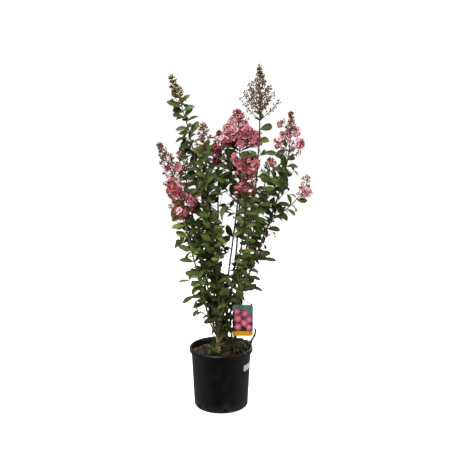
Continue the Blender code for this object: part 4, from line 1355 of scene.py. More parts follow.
def grow_spray(cane, place, heading, size, rng, buds):
    """A twig that curves up, with stalks in twos, which end in forks of buds."""
    end = place + heading * size + UP * size * 0.10
    if in_discs(end, OPEN_PATCHES.get(cane.name, ())) and rng.random() < SPRAY_GIVES_WAY:
        return
    leave, arrive = heading * size, heading * size + UP * size * 0.40
    radii = taper(SPRAY_RADIUS * min(1.0, 0.55 + size * 6), 0.55, SPRAY_STEPS)
    limb = tube(curve_path(place, end, leave, arrive, SPRAY_STEPS), radii, 5)
    twigs_basket.add(limb, None, (HEAD_TWIG if rng.random() < RED_TWIGS else HEAD_GREEN,))
    joints = max(1, round(size / SPRAY_JOINT))
    for k in range(joints):
        share = 0.34 + 0.56 * (k + rng.uniform(0.3, 0.7)) / joints
        spot, along = blend(place, end, leave, arrive, share)
        turn = k * math.pi / 2 + rng.uniform(-SPRAY_SIDE_TWIST, SPRAY_SIDE_TWIST)
        for side in (0, math.pi):
            away = (outward_at(along, turn + side) * 0.75 + along * 0.65).normalized()
            stop = spot + away * rng.uniform(*STALK) * (1.1 - 0.4 * share) * min(1.0, 0.4 + size * 22)
            draw_stalk(spot, stop, away)
            set_buds(stop, away, rng, buds, rng.choice(HEAD_FORKS.get(cane.name, COMMON_FORKS)))
    set_buds(end, arrive.normalized(), rng, buds, TOP_FORK)


# %% [markdown]
# Open flowers come in groups of a few, on one twig that curves out from the stem. A patch gets as
# many groups as its area holds, at chance places and depths. Single flowers, each at a place of its
# own, would look like confetti.

# %% Patches of open flowers
PATCH_GROUP = 0.0099              # one group of flowers for each disc of this radius
PATCH_RIM = 0.010                 # no group starts this near to a patch's edge
GROUP_DEPTH = 0.8                 # of the head's reach, to the front and to the back
GROUP_TWIG = (0.0014, 0.0013, 0.0011, 0.0009, 0.0007)
GROUP_FLOWERS = 5
GROUP_SPREAD = 0.0105
GROUP_REACHES = (0.5, 1.4)
OPEN_SHARE = 0.88                 # of the stalks of a group; the others end in buds
FLOWER_SIZE = {"long_shoot": 0.72, "right": 0.76, "back_right": 0.66, "front_left": 0.96}
COMMON_FLOWER_SIZE = 0.82


def nearest_on(cane, place, base):
    """The point of the head's stem that a twig to a place grows from, a little below it."""
    spots = [stem_at(cane, base + (1 - base) * k / 20)[0] for k in range(20)]
    return min(spots, key=lambda spot: abs(spot.z - place.z + 0.6 * (spot - place).xy.length))


def grow_patch(cane, number, base, petals, buds):
    """Groups of open flowers that fill a patch of the head, each on a twig from the stem."""
    x, z, radius = OPEN_PATCHES[cane.name][number]
    rng = random.Random("%s patch %d" % (cane.name, number))
    size = FLOWER_SIZE.get(cane.name, COMMON_FLOWER_SIZE)
    for _ in range(max(1, round((radius / PATCH_GROUP) ** 2))):
        turn, out = rng.uniform(0, TAU), max(0.0, radius - PATCH_RIM) * math.sqrt(rng.random())
        centre = Vector((x + out * math.cos(turn), 0, z + out * math.sin(turn)))
        middle = nearest_on(cane, centre, base).y
        centre.y = middle + rng.uniform(-GROUP_DEPTH, GROUP_DEPTH) * cane.spread
        foot = nearest_on(cane, centre, base)
        run = centre - foot
        line = curve_path(foot, centre, run, run + UP * run.length * 0.5, len(GROUP_TWIG) - 1)
        twigs_basket.add(tube(line, GROUP_TWIG, 5), None, (HEAD_TWIG,))
        heading = run.normalized()
        start = rng.uniform(0, TAU)
        for n in range(GROUP_FLOWERS):
            outward = outward_at(heading, start + n * TAU / 4 + rng.uniform(-0.5, 0.5))
            away = (outward * (1.0 if n < 4 else 0.1) + heading * rng.uniform(-0.1, 0.8)).normalized()
            stop = centre + away * GROUP_SPREAD * rng.uniform(*GROUP_REACHES)
            draw_stalk(centre, stop, away)
            if rng.random() < OPEN_SHARE:
                set_flower(stop, away, size, rng, petals)
            else:
                set_buds(stop, away, rng, buds, 2)


# %% [markdown]
# A head is a stack of whorls of sprays. The sprays get shorter and steeper towards the tip, and each
# whorl is turned against the last. Young leaves stand between the lowest whorls of some heads. The
# tables say what sets single heads apart: the tall right one is in bud and stands steep and slender.

# %% Grow the flower heads
WHORL_STEP = 0.0215               # between the whorls of sprays
TOP_STEP = 0.0145                 # and near the tip, where they stand closer
HEAD_START = {"right_tall": 0.010}
HEAD_END = 0.012                  # below the tip of the stem
HEAD_WAYS = {"left_tall": 4, "right_tall": 4}      # sprays in one whorl
COMMON_WAYS = 3
HEAD_TAPER = {"right_tall": 1.35, "left_tall": 1.20, "right": 1.05}
COMMON_TAPER = 0.85
HEAD_REACH = {"right_tall": 1.18, "left": 1.12, "right": 0.88}
STEEP_HEADS = {"right_tall": 13}  # how many degrees steeper their sprays stand
HEAD_RISE = (28, 60)              # degrees above level, at a head's base and its tip
SPRAY_SIZES = (0.80, 1.05)
SPRAY_LEAST = 0.007
BUD_ROOM = 0.004                  # a spray's last buds reach out this much further
YOUNG_FADE = 0.55                 # of the size of the young leaves, from a head's base to its tip
YOUNG_LEAST = 0.12
TOP_BUDS = (0.0, 0.008)           # how far below the tip
HEAD_LOOKS = {                   # petals and buds of each head
    "left_tall": ((PINK,), (BUD_OLIVE,)),
    "right_tall": ((PINK,), (BUD_OLIVE, BUD_DARK, BUD_RED, BUD_DARK, BUD_OLIVE)),
    "right": ((PALE, PALE, PINK), (BUD_RED, BUD_OLIVE, BUD_PINK)),
    "left": ((PINK, ROSE), (BUD_RED, BUD_OLIVE, BUD_DARK)),
    "middle_left": ((PINK, PALE), (BUD_RED, BUD_OLIVE, BUD_RED)),
    "centre": ((ROSE, PINK, PINK, PALE), (BUD_RED, BUD_PINK)),
    # painted shade: the head at the back takes the darker pink
    "centre_back": ((PAINTED_SHADE_PINK, PAINTED_SHADE_PINK, ROSE), (BUD_DARK, BUD_RED)),
    "front": ((ROSE, PINK), (BUD_RED, BUD_DARK)),
    "front_left": ((ROSE, PINK, ROSE, PALE), (BUD_RED, BUD_PINK)),
    "long_shoot": ((PALE, PALE, PALE, PINK), (BUD_PINK, BUD_DARK)),
}
LEAFY_HEADS = {"left_tall": 0.80, "middle_left": 0.50, "right_tall": 0.50, "right": 0.36}
COMMON_LOOKS = ((ROSE, PINK, PALE), (BUD_RED, BUD_OLIVE))


def grow_whorl(cane, place, along, share, k, rng, buds):
    """The k-th ring of sprays, at a share of the way up the head."""
    low, high = HEAD_RISE
    rise = math.radians(STEEP_HEADS.get(cane.name, 0) * (1 - share) + low + (high - low) * share)
    reach = cane.spread * HEAD_REACH.get(cane.name, 1)
    reach *= (1 - share) ** HEAD_TAPER.get(cane.name, COMMON_TAPER) / math.cos(rise)
    ways = HEAD_WAYS.get(cane.name, COMMON_WAYS) if share < 0.5 else COMMON_WAYS
    for n in range(ways):
        turn = TAU * n / ways + k * math.pi / ways + rng.uniform(-0.3, 0.3)
        heading = (outward_at(along, turn) * math.cos(rise) + along * math.sin(rise)).normalized()
        size = max(SPRAY_LEAST, reach * rng.uniform(*SPRAY_SIZES) - BUD_ROOM)
        grow_spray(cane, place, heading, size, rng, buds)


def grow_head(cane):
    base = 1 - cane.plume / cane_length(cane)
    petals, buds = HEAD_LOOKS.get(cane.name, COMMON_LOOKS)
    spot, k = HEAD_START.get(cane.name, 0.0), 0
    while spot < cane.plume - HEAD_END:
        share = spot / cane.plume
        rng = random.Random("%s head %d" % (cane.name, k))
        place, along = stem_at(cane, base + (1 - base) * share)
        grow_whorl(cane, place, along, share, k, rng, buds)
        young = LEAFY_HEADS.get(cane.name, 0) - YOUNG_FADE * share
        if young > YOUNG_LEAST:
            turn = RANK_STRAY * (1 if k % 2 else -1)
            grow_pair(place, along, LEAF_FOOT, turn, young, rng, (MID, OLIVE))
        spot += WHORL_STEP + (TOP_STEP - WHORL_STEP) * share
        k += 1
    for number in range(len(OPEN_PATCHES.get(cane.name, ()))):
        grow_patch(cane, number, base, petals, buds)
    top, along = stem_at(cane, 1)
    rng = random.Random(cane.name + " top")
    for drop in TOP_BUDS:
        set_buds(top - along * (drop + BUD_RADIUS), along, rng, buds, TOP_FORK)


for cane in GROWING:
    grow_head(cane)
print("flowers", flowers_basket.copies, "buds", buds_basket.copies, "stalks", twigs_basket.copies)

# %% [markdown]
# The baskets are poured out as five pieces, one for each kind of finish. Together they stand for the
# masses of foliage of the frame.

# %% Empty the baskets
dress(canes_basket.empty(), "twig", *FOLIAGE_NODES)
dress(twigs_basket.empty(), "twig", *FOLIAGE_NODES)
dress(leaves_basket.empty(), "leaf", *FOLIAGE_NODES)
dress(flowers_basket.empty(), "petal", *FOLIAGE_NODES)
dress(buds_basket.empty(), "bud", *FOLIAGE_NODES)

# %% [markdown]
# ## Trunk and boughs
#
# Where canes part from a trunk, the bark runs over from one to the other with no seam. Separate
# tubes would show a hard crease there. So the trunk is drawn up ring by ring from its flat foot,
# the boughs are bevelled curves, and a voxel remesh melts them into one skin.

# %% Draw the trunk and a bough
TRUNK_SIDES = 40
TRUNK_RINGS = 26
RINGS_TO_FOOT = 1.3               # more than 1 sets the rings closer at the flare
BOUGH_STEPS = 14


def draw_trunk():
    """From the soil to the head, with the flare and the swell of the real thing."""
    rings = []
    for k in range(TRUNK_RINGS + 1):
        centre = TRUNK_FOOT.lerp(TRUNK_HEAD, (k / TRUNK_RINGS) ** RINGS_TO_FOOT)
        rings.append((centre, trunk_radius(centre.z)))
    return draw_rings(rings, TRUNK_SIDES)


def draw_bough(cane):
    """A bevelled curve along the bough, thinner to its tip."""
    thick = MAIN_LIMBS.get(cane.name, BOUGH_RADIUS)
    path = bough_path(cane, BOUGH_STEPS)
    clear_selection()
    bpy.ops.curve.primitive_nurbs_path_add()
    bough = bpy.context.object
    curve = bough.data
    curve.splines.clear()
    line = curve.splines.new("POLY")
    line.points.add(len(path) - 1)
    for k, (place, _) in enumerate(path):
        line.points[k].co = (*place, 1)
        line.points[k].radius = thick + (STEM_RADIUS - thick) * k / BOUGH_STEPS
    curve.bevel_depth = 1.0
    curve.bevel_resolution = 4
    curve.use_fill_caps = True
    bpy.ops.object.convert(target="MESH")
    return bpy.context.object


# %% [markdown]
# Bark has a relief that a picture of bark only pretends to have. Each point of the skin is moved in
# or out by a streaky noise, and sinks a step where another noise says that a flake has come off. The
# lower part gets the trunk's tan finish, and the boughs the canes' brown one, with a ragged change.

# %% One skin of bark
BARK_VOXEL = 0.0011
BARK_DEPTH = 0.00055
STREAKS = (260, 34)               # bends of the noise in a metre, round the limb and along it
FLAKES = (90, 22)
FLAKE_FROM = 0.12
FLAKE_SINK = 0.36
CUT_FADE = 0.004                  # no relief at the cut, which stands on the mix
BROWN_FROM = 0.36
BROWN_RAGGED = 0.02


def add_bark(piece):
    """Moves each point in or out by long streaks, and in where a flake is gone."""
    mesh = piece.data
    moved = np.array([point.co[:] for point in mesh.vertices])
    for point in mesh.vertices:
        place = point.co
        streak = noise.noise(Vector((place.x * STREAKS[0], place.y * STREAKS[0], place.z * STREAKS[1])))
        flake = noise.noise(Vector((place.x * FLAKES[0] + 7, place.y * FLAKES[0], place.z * FLAKES[1])))
        sunk = FLAKE_SINK if flake > FLAKE_FROM else 0.0
        fade = min(1.0, (place.z - SOIL_TOP) / CUT_FADE)
        moved[point.index] += np.array(point.normal) * BARK_DEPTH * (streak * 0.8 - sunk) * fade
    mesh.vertices.foreach_set("co", moved.ravel())
    mesh.update()


trunk = draw_trunk()
boughs = [draw_bough(cane) for cane in CANES]
clear_selection()
for limb in boughs + [trunk]:
    limb.select_set(True)
bpy.context.view_layer.objects.active = trunk
bpy.ops.object.join()
skin = trunk.modifiers.new("one skin", "REMESH")
skin.mode = "VOXEL"
skin.voxel_size = BARK_VOXEL
soften = trunk.modifiers.new("soften", "SMOOTH")
soften.factor = 0.5
soften.iterations = 3
apply_modifiers(trunk)
add_bark(trunk)
settle(trunk, "trunk_and_boughs", [trunk_finish, cane_finish])
for face in trunk.data.polygons:
    change = BROWN_FROM + BROWN_RAGGED * noise.noise(face.center * 60)
    face.material_index = 1 if face.center.z > change else 0
    face.use_smooth = True
dress(trunk, "bark", "trunk", *["bough_" + cane.name for cane in CANES])

# %% [markdown]
# ## The pot
#
# A nursery pot is blown from black polyethylene, with a rolled rim, a thin wall and drain slots
# round its foot. It widens evenly from its foot to the shoulder below the rim, so one function gives
# its outside at any height, and the mix, the label and the slots ask it where the wall is.

# %% Sizes of the pot
POT_RIM_RADIUS = 0.127
POT_HEIGHT = 0.241
POT_FOOT_RADIUS = 0.1075
POT_SHOULDER_RADIUS = 0.119
POT_RIM_DEPTH = 0.018
POT_RIM_ROLL = 0.0025
POT_RIM_LAND = 0.0055
POT_WALL = 0.0022
POT_CORNER = 0.007
POT_SIDES = 96
SLOT_COUNT = 6
SLOT_FIRST = math.radians(-81)
SLOT_WIDTH = 0.012
SLOT_FLOOR = 0.0035
SLOT_TOP = 0.021


def pot_outside(height):
    rise = POT_HEIGHT - POT_RIM_DEPTH
    return POT_FOOT_RADIUS + (POT_SHOULDER_RADIUS - POT_FOOT_RADIUS) * height / rise


print("pot outside at the mix", round(pot_outside(SOIL_TOP), 4), "m")

# %% [markdown]
# The plastic is nearly black, with a soft sheen. Dust lies on it in clouds that thin out upwards,
# long scuffs run up and down, and watering has splashed a pale edge round the foot. All of these
# change its colour and its gloss a little, because plastic of one even black looks like a hole.


# %% The pot's plastic
def make_pot_finish():
    plastic = Finish("pot_plastic", tint(11, 11, 10), 0.42, Specular_IOR_Level=0.5)
    height = plastic.axis("Z")
    dust = plastic.ease(plastic.grain(26, 4), 0.45, 0.75) * (1 - plastic.ease(height, 0.0, 0.20) * 0.7)
    scuffs = plastic.ease(plastic.grain(120, 3, (1, 1, 0.12)), 0.62, 0.72)
    splash = (1 - plastic.ease(height + plastic.grain(60, 3) * 0.016, -0.010, 0.062)) ** 2
    base = plastic.mix(dust * 0.20 + splash * 0.72, tint(10, 10, 9), tint(74, 72, 66))
    base = plastic.mix(scuffs * 0.15, base, tint(60, 58, 56))
    plastic.drive(Base_Color=base, Roughness=0.36 + dust * 0.30 + scuffs * 0.1)
    plastic.relief(plastic.grain(34, 2, (1, 1, 1.6)) * 0.8 + plastic.grain(700, 2) * 0.05, 0.0030, 0.5)
    return plastic.material


pot_finish = make_pot_finish()

# %% [markdown]
# The wall is drawn ring by ring, outside up and inside down, so that it has its true thickness. A
# cutter with rounded corners opens each slot, as a Boolean modifier, and a bevel rounds what a mould
# would round.

# %% Shape the pot
CUTTER_BEVEL = 0.0025
CUTTER_DEPTH = 0.016
POT_BEVEL = 0.0008
POT_BEVEL_FROM = math.radians(24)


def make_pot():
    shoulder = POT_HEIGHT - POT_RIM_DEPTH
    inner_rim = POT_RIM_RADIUS - POT_RIM_LAND - POT_RIM_ROLL
    profile = [
        (POT_FOOT_RADIUS - POT_CORNER * 1.6, 0.0015),
        (POT_FOOT_RADIUS - POT_CORNER, 0.0),
        (POT_FOOT_RADIUS - POT_CORNER * 0.3, POT_CORNER * 0.3),
        (pot_outside(POT_CORNER), POT_CORNER),
        (pot_outside(0.05), 0.05),
        (pot_outside(0.12), 0.12),
        (pot_outside(0.19), 0.19),
        (POT_SHOULDER_RADIUS, shoulder - 0.0005),
        (POT_SHOULDER_RADIUS + 0.0010, shoulder + 0.0008),
        (POT_RIM_RADIUS - POT_RIM_ROLL, shoulder + 0.0010),
        (POT_RIM_RADIUS, shoulder + 0.0010 + POT_RIM_ROLL),
        (POT_RIM_RADIUS, POT_HEIGHT - POT_RIM_ROLL),
        (POT_RIM_RADIUS - POT_RIM_ROLL, POT_HEIGHT),
        (inner_rim, POT_HEIGHT),
        (POT_SHOULDER_RADIUS - POT_WALL, shoulder - 0.001),
        (pot_outside(POT_CORNER) - POT_WALL, POT_CORNER),
        (POT_FOOT_RADIUS - POT_CORNER, POT_WALL),
    ]
    pot = draw_rings([(Vector((0, 0, z)), radius) for radius, z in profile], POT_SIDES)
    for k in range(SLOT_COUNT):
        cut_slot(pot, SLOT_FIRST + TAU * k / SLOT_COUNT)
    rounded = pot.modifiers.new("rounded", "BEVEL")
    rounded.limit_method = "ANGLE"
    rounded.angle_limit = POT_BEVEL_FROM
    rounded.width = POT_BEVEL
    rounded.segments = 2
    apply_modifiers(pot)
    return settle(pot, "nursery_pot", [pot_finish], angle=35)


def cut_slot(pot, angle):
    """Opens a drain slot through the foot of the wall, with rounded corners."""
    clear_selection()
    reach = POT_FOOT_RADIUS + 0.001
    middle = (reach * math.cos(angle), reach * math.sin(angle), (SLOT_TOP + SLOT_FLOOR) / 2)
    bpy.ops.mesh.primitive_cube_add(size=1, scale=(CUTTER_DEPTH, SLOT_WIDTH, SLOT_TOP - SLOT_FLOOR),
                                    location=middle, rotation=(0, 0, angle))
    cutter = bpy.context.object
    bpy.ops.object.transform_apply(scale=True)
    rounded = cutter.modifiers.new("rounded", "BEVEL")
    rounded.width = CUTTER_BEVEL
    rounded.segments = 3
    apply_modifiers(cutter)
    opened = pot.modifiers.new("slot", "BOOLEAN")
    opened.object = cutter
    apply_modifiers(pot)
    bpy.data.objects.remove(cutter)


pot = dress(make_pot(), "pot_plastic", "pot")

# %% [markdown]
# ## The potting mix
#
# Growers fill pots with composted bark. It lies uneven and is covered with chips of every size. The
# mix is a closed body that fills the pot, so it also shows through the slots, with its top pushed
# up and down by noise. Some hundreds of chips, from a few rough models, lie on it.

# %% The mix
SOIL_GAP = 0.0002
SOIL_SIDES = 72
SOIL_RINGS = 22
SOIL_HEAVE = 0.0030
SOIL_EDGE = 0.012                 # near the wall the top is level
HEAP_HEIGHT = 0.002
HEAP_REACH = 0.03


def soil_height(x, y):
    """The height of the mix, heaped a little round the trunk."""
    place = Vector((x, y, 0))
    heave = noise.noise(place * 34) * 0.7 + noise.noise(place * 110) * 0.3
    edge = min(1.0, (pot_outside(SOIL_TOP) - place.length) / SOIL_EDGE)
    heap = math.exp(-(place - TRUNK_FOOT.xy.to_3d()).length / HEAP_REACH) * HEAP_HEIGHT
    return SOIL_TOP - 0.001 + (heave * SOIL_HEAVE + heap) * max(0.0, edge)


def make_mix_finish():
    mix = Finish("potting_mix", tint(44, 32, 24), 0.95, Specular_IOR_Level=0.2)
    crumbs = mix.grain(420, 4)
    clods = mix.grain(90, 3)
    base = mix.mix(mix.ease(crumbs, 0.38, 0.66), tint(20, 15, 11), tint(56, 41, 30))
    base = mix.mix(mix.ease(clods, 0.60, 0.72) * 0.4, base, tint(84, 62, 44))
    mix.drive(Base_Color=base, Roughness=0.85 + crumbs * 0.15)
    mix.relief(crumbs, 0.0020, 0.9)
    return mix.material


mix_finish = make_mix_finish()


def make_mix():
    wall = pot_outside(SOIL_TOP) - POT_WALL - SOIL_GAP
    rings = [
        (Vector((0, 0, POT_WALL + SOIL_GAP)), POT_FOOT_RADIUS - POT_CORNER - SOIL_GAP),
        (Vector((0, 0, POT_CORNER + SOIL_GAP)), pot_outside(POT_CORNER) - POT_WALL - SOIL_GAP),
        (Vector((0, 0, SOIL_TOP - 0.002)), wall),
    ]
    for k in range(1, SOIL_RINGS):
        rings.append((Vector((0, 0, SOIL_TOP)), wall * (1 - k / SOIL_RINGS)))
    mix = draw_rings(rings, SOIL_SIDES)
    for point in mix.data.vertices:
        if point.co.z > SOIL_TOP - 0.0005:
            point.co.z = soil_height(point.co.x, point.co.y)
    return settle(mix, "potting_mix_body", [mix_finish], angle=60)


dress(make_mix(), "potting_mix", "soil")

# %% [markdown]
# A chip is a split of bark: a long box whose corners are pushed about, so that no face is quite
# flat. Its kinds run from nearly black to reddish, with a few pale splinters of wood.

# %% Chips of bark
CHIP_COUNT = 620
CHIP_MODELS = 5
CHIP_LENGTH = (0.004, 0.019)
SMALL_CHIPS = (0.003, 0.009)      # every other chip is one of these
CHIP_TILT = 0.25
CHIP_RIM = 0.008                  # between the chips and the wall
TRUNK_ROOM = 0.016                # and round the trunk
CHIP_KINDS = (0, 0, 0, 1, 1, 1, 2, 2, 3)
CHIP_TINTS = {
    "chip_dark": (tint(30, 22, 16), tint(46, 34, 25)),
    "chip_brown": (tint(56, 40, 28), tint(76, 55, 40)),
    "chip_red": (tint(80, 48, 33), tint(104, 66, 46)),
    "chip_pale": (tint(132, 106, 76), tint(160, 134, 100)),
}
chip_finishes = [make_bark_finish(name, dark, light, light, 2.0)
                 for name, (dark, light) in CHIP_TINTS.items()]


def model_chip(seed):
    clear_selection()
    bpy.ops.mesh.primitive_cube_add(size=1, scale=(1, 0.42, 0.18))
    chip = bpy.context.object
    bpy.ops.object.transform_apply(scale=True)
    bpy.ops.object.mode_set(mode="EDIT")
    bpy.ops.mesh.select_all(action="SELECT")
    bpy.ops.mesh.subdivide(number_cuts=1)
    pick(chip, lambda place: place.x > 0.3)
    bpy.ops.transform.resize(value=(1, 0.6, 0.7), center_override=(0.5, 0.05, 0))
    bpy.ops.mesh.select_all(action="SELECT")
    bpy.ops.transform.vertex_random(offset=0.09, seed=seed)
    bpy.ops.object.mode_set(mode="OBJECT")
    return take_shape(chip)


chip_shapes = [model_chip(seed) for seed in range(CHIP_MODELS)]
chips_basket = Basket("bark_chips", chip_finishes)
rng = random.Random("chips")
chip_room = pot_outside(SOIL_TOP) - POT_WALL - CHIP_RIM
while chips_basket.copies < CHIP_COUNT:
    x, y = (rng.uniform(-chip_room, chip_room) for _ in range(2))
    far = (Vector((x, y, 0)) - TRUNK_FOOT.xy.to_3d()).length
    if math.hypot(x, y) > chip_room or far < TRUNK_ROOM:
        continue
    size = rng.uniform(*CHIP_LENGTH) if rng.random() < 0.5 else rng.uniform(*SMALL_CHIPS)
    place = Vector((x, y, soil_height(x, y) + size * 0.08 + rng.uniform(0, 0.0015)))
    lean = Matrix.Rotation(rng.gauss(0, CHIP_TILT), 4, "X") @ Matrix.Rotation(rng.gauss(0, CHIP_TILT), 4, "Y")
    turn = Matrix.Translation(place) @ Matrix.Rotation(rng.uniform(0, TAU), 4, "Z") @ lean
    chips_basket.add(rng.choice(chip_shapes), turn @ Matrix.Scale(size, 4), (rng.choice(CHIP_KINDS),))
dress(chips_basket.empty(smooth=False), "potting_mix")

# %% [markdown]
# ## Label, tag and strap
#
# The label is a blank white strip that follows the curve of the wall. A flat card would stand off it
# at both ends, so a grid is wrapped round: each of its points gets an angle and a height, and the
# pot's own formula gives the radius. Solidify makes it a film.

# %% The label, in white film
LABEL_FIRST = math.radians(-40)
LABEL_LAST = math.radians(-10)
LABEL_BOTTOM = 0.162
LABEL_TOP = 0.186
LABEL_STEPS = 12
LABEL_THICK = 0.0004


def make_film_finish():
    film = Finish("white_film", tint(246, 246, 243), 0.42)
    cloud = film.grain(60, 3)
    film.drive(Base_Color=film.mix(film.ease(cloud, 0.4, 0.8), tint(252, 252, 250), tint(242, 241, 237)))
    film.drive(Roughness=0.36 + cloud * 0.18)
    film.relief(film.grain(150, 2), 0.0004, 0.3)
    return film.material


film_finish = make_film_finish()


def make_label():
    """A strip of the wall's own curve, with a little thickness outwards."""
    clear_selection()
    bpy.ops.mesh.primitive_grid_add(x_subdivisions=LABEL_STEPS, y_subdivisions=2, size=1)
    label = bpy.context.object
    for point in label.data.vertices:
        angle = LABEL_FIRST + (LABEL_LAST - LABEL_FIRST) * (point.co.x + 0.5)
        height = LABEL_BOTTOM + (LABEL_TOP - LABEL_BOTTOM) * (point.co.y + 0.5)
        radius = pot_outside(height) + SOIL_GAP
        point.co = (radius * math.cos(angle), radius * math.sin(angle), height)
    thick = label.modifiers.new("thick", "SOLIDIFY")
    thick.thickness = LABEL_THICK
    thick.offset = 1
    apply_modifiers(label)
    return settle(label, "blank_label", [film_finish], angle=40)


dress(make_label(), "white_film", "label")

# %% [markdown]
# The tag is a plastic card with a picture side. Its print here is a plain garden pattern: a few round
# flowers over two greens, with an orange band. It is drawn by formulas in the material. A flower is
# the distance from its middle, and the cosine of the angle round it gives the edge five lobes. The
# back is the same card with no print.

# %% The tag's print
LOBES = 5
LOBE_DEPTH = 0.14                 # of a flower's radius
ROSETTES = (                      # place across and up from the tag's middle, radius, turn
    (-0.022, 0.037, 0.0150, 0.9),
    (0.008, 0.028, 0.0180, 0.2),
    (0.026, 0.004, 0.0175, 0.6),
    (-0.019, 0.007, 0.0195, 0.4),
    (0.006, -0.010, 0.0185, 0.0),
    (0.025, -0.028, 0.0160, 0.8),
    (-0.019, -0.026, 0.0175, 0.5),
)


def make_tag_finish():
    card = Finish("printed_card", tint(40, 70, 56), 0.32, Coat_Weight=0.3, Coat_Roughness=0.2)
    across = card.axis("X") - TAG_CENTRE.x
    up = card.axis("Z") - TAG_CENTRE.z
    cloud = card.grain(70, 3)
    meadow = card.ease(up + cloud * 0.05 + across * 0.4, 0.020, 0.075)
    colour = card.mix(meadow, tint(34, 50, 40), tint(96, 150, 132))
    for x, z, radius, turn in ROSETTES:
        aside, above = across - x, up - z
        angle = card.work("ARCTAN2", above, aside)
        lobes = card.work("COSINE", angle * LOBES + turn * LOBES)
        distance = (aside * aside + above * above) ** 0.5
        edge = distance - lobes * radius * LOBE_DEPTH
        inside = 1 - card.ease(edge, radius * 0.80, radius * 0.90)
        petals = card.mix(card.ease(distance, 0, radius), tint(250, 160, 194), tint(232, 52, 112))
        colour = card.mix(inside, colour, petals)
        colour = card.mix(1 - card.ease(distance, radius * 0.16, radius * 0.24), colour, tint(250, 214, 110))
    band = 1 - card.ease(up, -0.0440, -0.0430)
    colour = card.mix(band, colour, tint(252, 176, 24))
    behind = card.ease(card.axis("Y"), TAG_CENTRE.y - 0.0001, TAG_CENTRE.y + 0.0001)
    colour = card.mix(behind, colour, tint(222, 222, 216))
    card.drive(Base_Color=colour, Roughness=0.28 + cloud * 0.12)
    return card.material


tag_finish = make_tag_finish()
print("flowers on the tag", len(ROSETTES))

# %% [markdown]
# The card is a thin box. Bevelling only its four short edges, which run through its thickness, rounds
# the corners and leaves the faces flat. They are picked by how far apart their two ends lie.

# %% The tag
TAG_SIZE = (0.081, 0.127)
TAG_THICK = 0.0008
TAG_CORNER = 0.009


def make_tag():
    """A thin card with rounded corners."""
    clear_selection()
    bpy.ops.mesh.primitive_cube_add(size=1, scale=(TAG_SIZE[0], TAG_THICK, TAG_SIZE[1]), location=TAG_CENTRE)
    tag = bpy.context.object
    bpy.ops.object.transform_apply(location=True, scale=True)
    bpy.ops.object.mode_set(mode="EDIT")
    mesh = bmesh.from_edit_mesh(tag.data)
    for edge in mesh.edges:
        low, high = (point.co for point in edge.verts)
        edge.select_set(abs(low.y - high.y) > TAG_THICK * 0.5)
    bmesh.update_edit_mesh(tag.data)
    bpy.ops.mesh.bevel(offset=TAG_CORNER, segments=6)
    bpy.ops.object.mode_set(mode="OBJECT")
    return settle(tag, "plant_tag", [tag_finish], angle=30)


dress(make_tag(), "printed_card", "tag")

# %% [markdown]
# The strap is a narrow film loop round the right bough, with a short tail, and the solid model
# already has its true shape. So that node stays and only gets the film's finish.

# %% Finish the strap
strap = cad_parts["tag_strap"]
strap.data.materials.clear()
strap.data.materials.append(film_finish)
print("strap", len(strap.data.polygons), "faces in", film_finish.name)

# %% [markdown]
# ## Dry shoots
#
# Two old shoots stand dead beside the tag. A dead shoot is thinner at the end, knobbed where leaves
# were, and has a few curled brown leaves left on it.

# %% Dry shoots
DryShoot = namedtuple("DryShoot", "name foot tip leave arrive leaves")
DRY_SHOOTS = [
    DryShoot("dry_shoot_left", (0.058, -0.055), (0.037, -0.050, 0.332),
             (-0.020, 0, 0.110), (-0.012, 0, 0.110), 1),
    DryShoot("dry_shoot_right", (0.080, -0.055), (0.131, -0.050, 0.331),
             (0.106, 0, 0.174), (-0.050, 0, 0.050), 2),
]
DRY_RADIUS = 0.0052
DRY_STEPS = 26
DRY_KNOB = 0.35                   # how much thicker it is at a knob
KNOB_EVERY = 6
CURLED_LEAF = (0.35, 0.5)         # sizes of what is left of a leaf
dry_leaf_finish = make_leaf_finish("dry_leaf", tint(84, 54, 36), tint(112, 78, 50))


def grow_dry_shoot(shoot):
    basket = Basket(shoot.name + "_piece", [dry_finish, dry_leaf_finish])
    foot = Vector((*shoot.foot, SOIL_TOP + 0.0005))
    path = curve_path(foot, Vector(shoot.tip), Vector(shoot.leave), Vector(shoot.arrive), DRY_STEPS)
    radii = [radius * (0.92 + (DRY_KNOB if k % KNOB_EVERY == 4 else 0.0))
             for k, radius in enumerate(taper(DRY_RADIUS, 0.35, DRY_STEPS))]
    basket.add(tube(path, radii, 9))
    rng = random.Random(shoot.name)
    for k in range(shoot.leaves):
        place, along = path[round(DRY_STEPS * (0.35 + 0.6 * k / shoot.leaves))]
        heading = (outward_at(along, rng.uniform(0, TAU)) * 0.7 - UP * 0.7).normalized()
        matrix = facing(place, heading, rng.uniform(*CURLED_LEAF)) @ Matrix.Rotation(math.pi / 2, 4, "Y")
        basket.add(leaf_shapes[3], matrix, (1,))
    dress(basket.empty(), "dry_twig", shoot.name)


for shoot in DRY_SHOOTS:
    grow_dry_shoot(shoot)

# %% [markdown]
# ## Stage and light
#
# The plant stands on a wide white floor that glows a little, so that it shows as white as the ground
# behind it and takes only a faint shadow. Mirrors and soft light don't see it.

# %% Floor
FLOOR_SIZE = 8
clear_selection()
bpy.ops.mesh.primitive_plane_add(size=FLOOR_SIZE, location=(0, 0, 0))
floor = bpy.context.object
floor.name = "floor"
floor_finish = Finish("floor_white", (0.9, 0.9, 0.9, 1), 0.9, Emission_Color=(1, 1, 1, 1),
                      Emission_Strength=0.75, Specular_IOR_Level=0.0)
floor.data.materials.append(floor_finish.material)
floor.visible_glossy = False
floor.visible_diffuse = False
floor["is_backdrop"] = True
print("floor", FLOOR_SIZE, "m wide")

# %% [markdown]
# A world can look different to each kind of ray. The camera sees plain white. Soft light on the plant
# is bright from above and dim from below. A glossy surface mirrors a dark studio, which is darkest
# in front, so the pot stays black with a sheen at its sides.

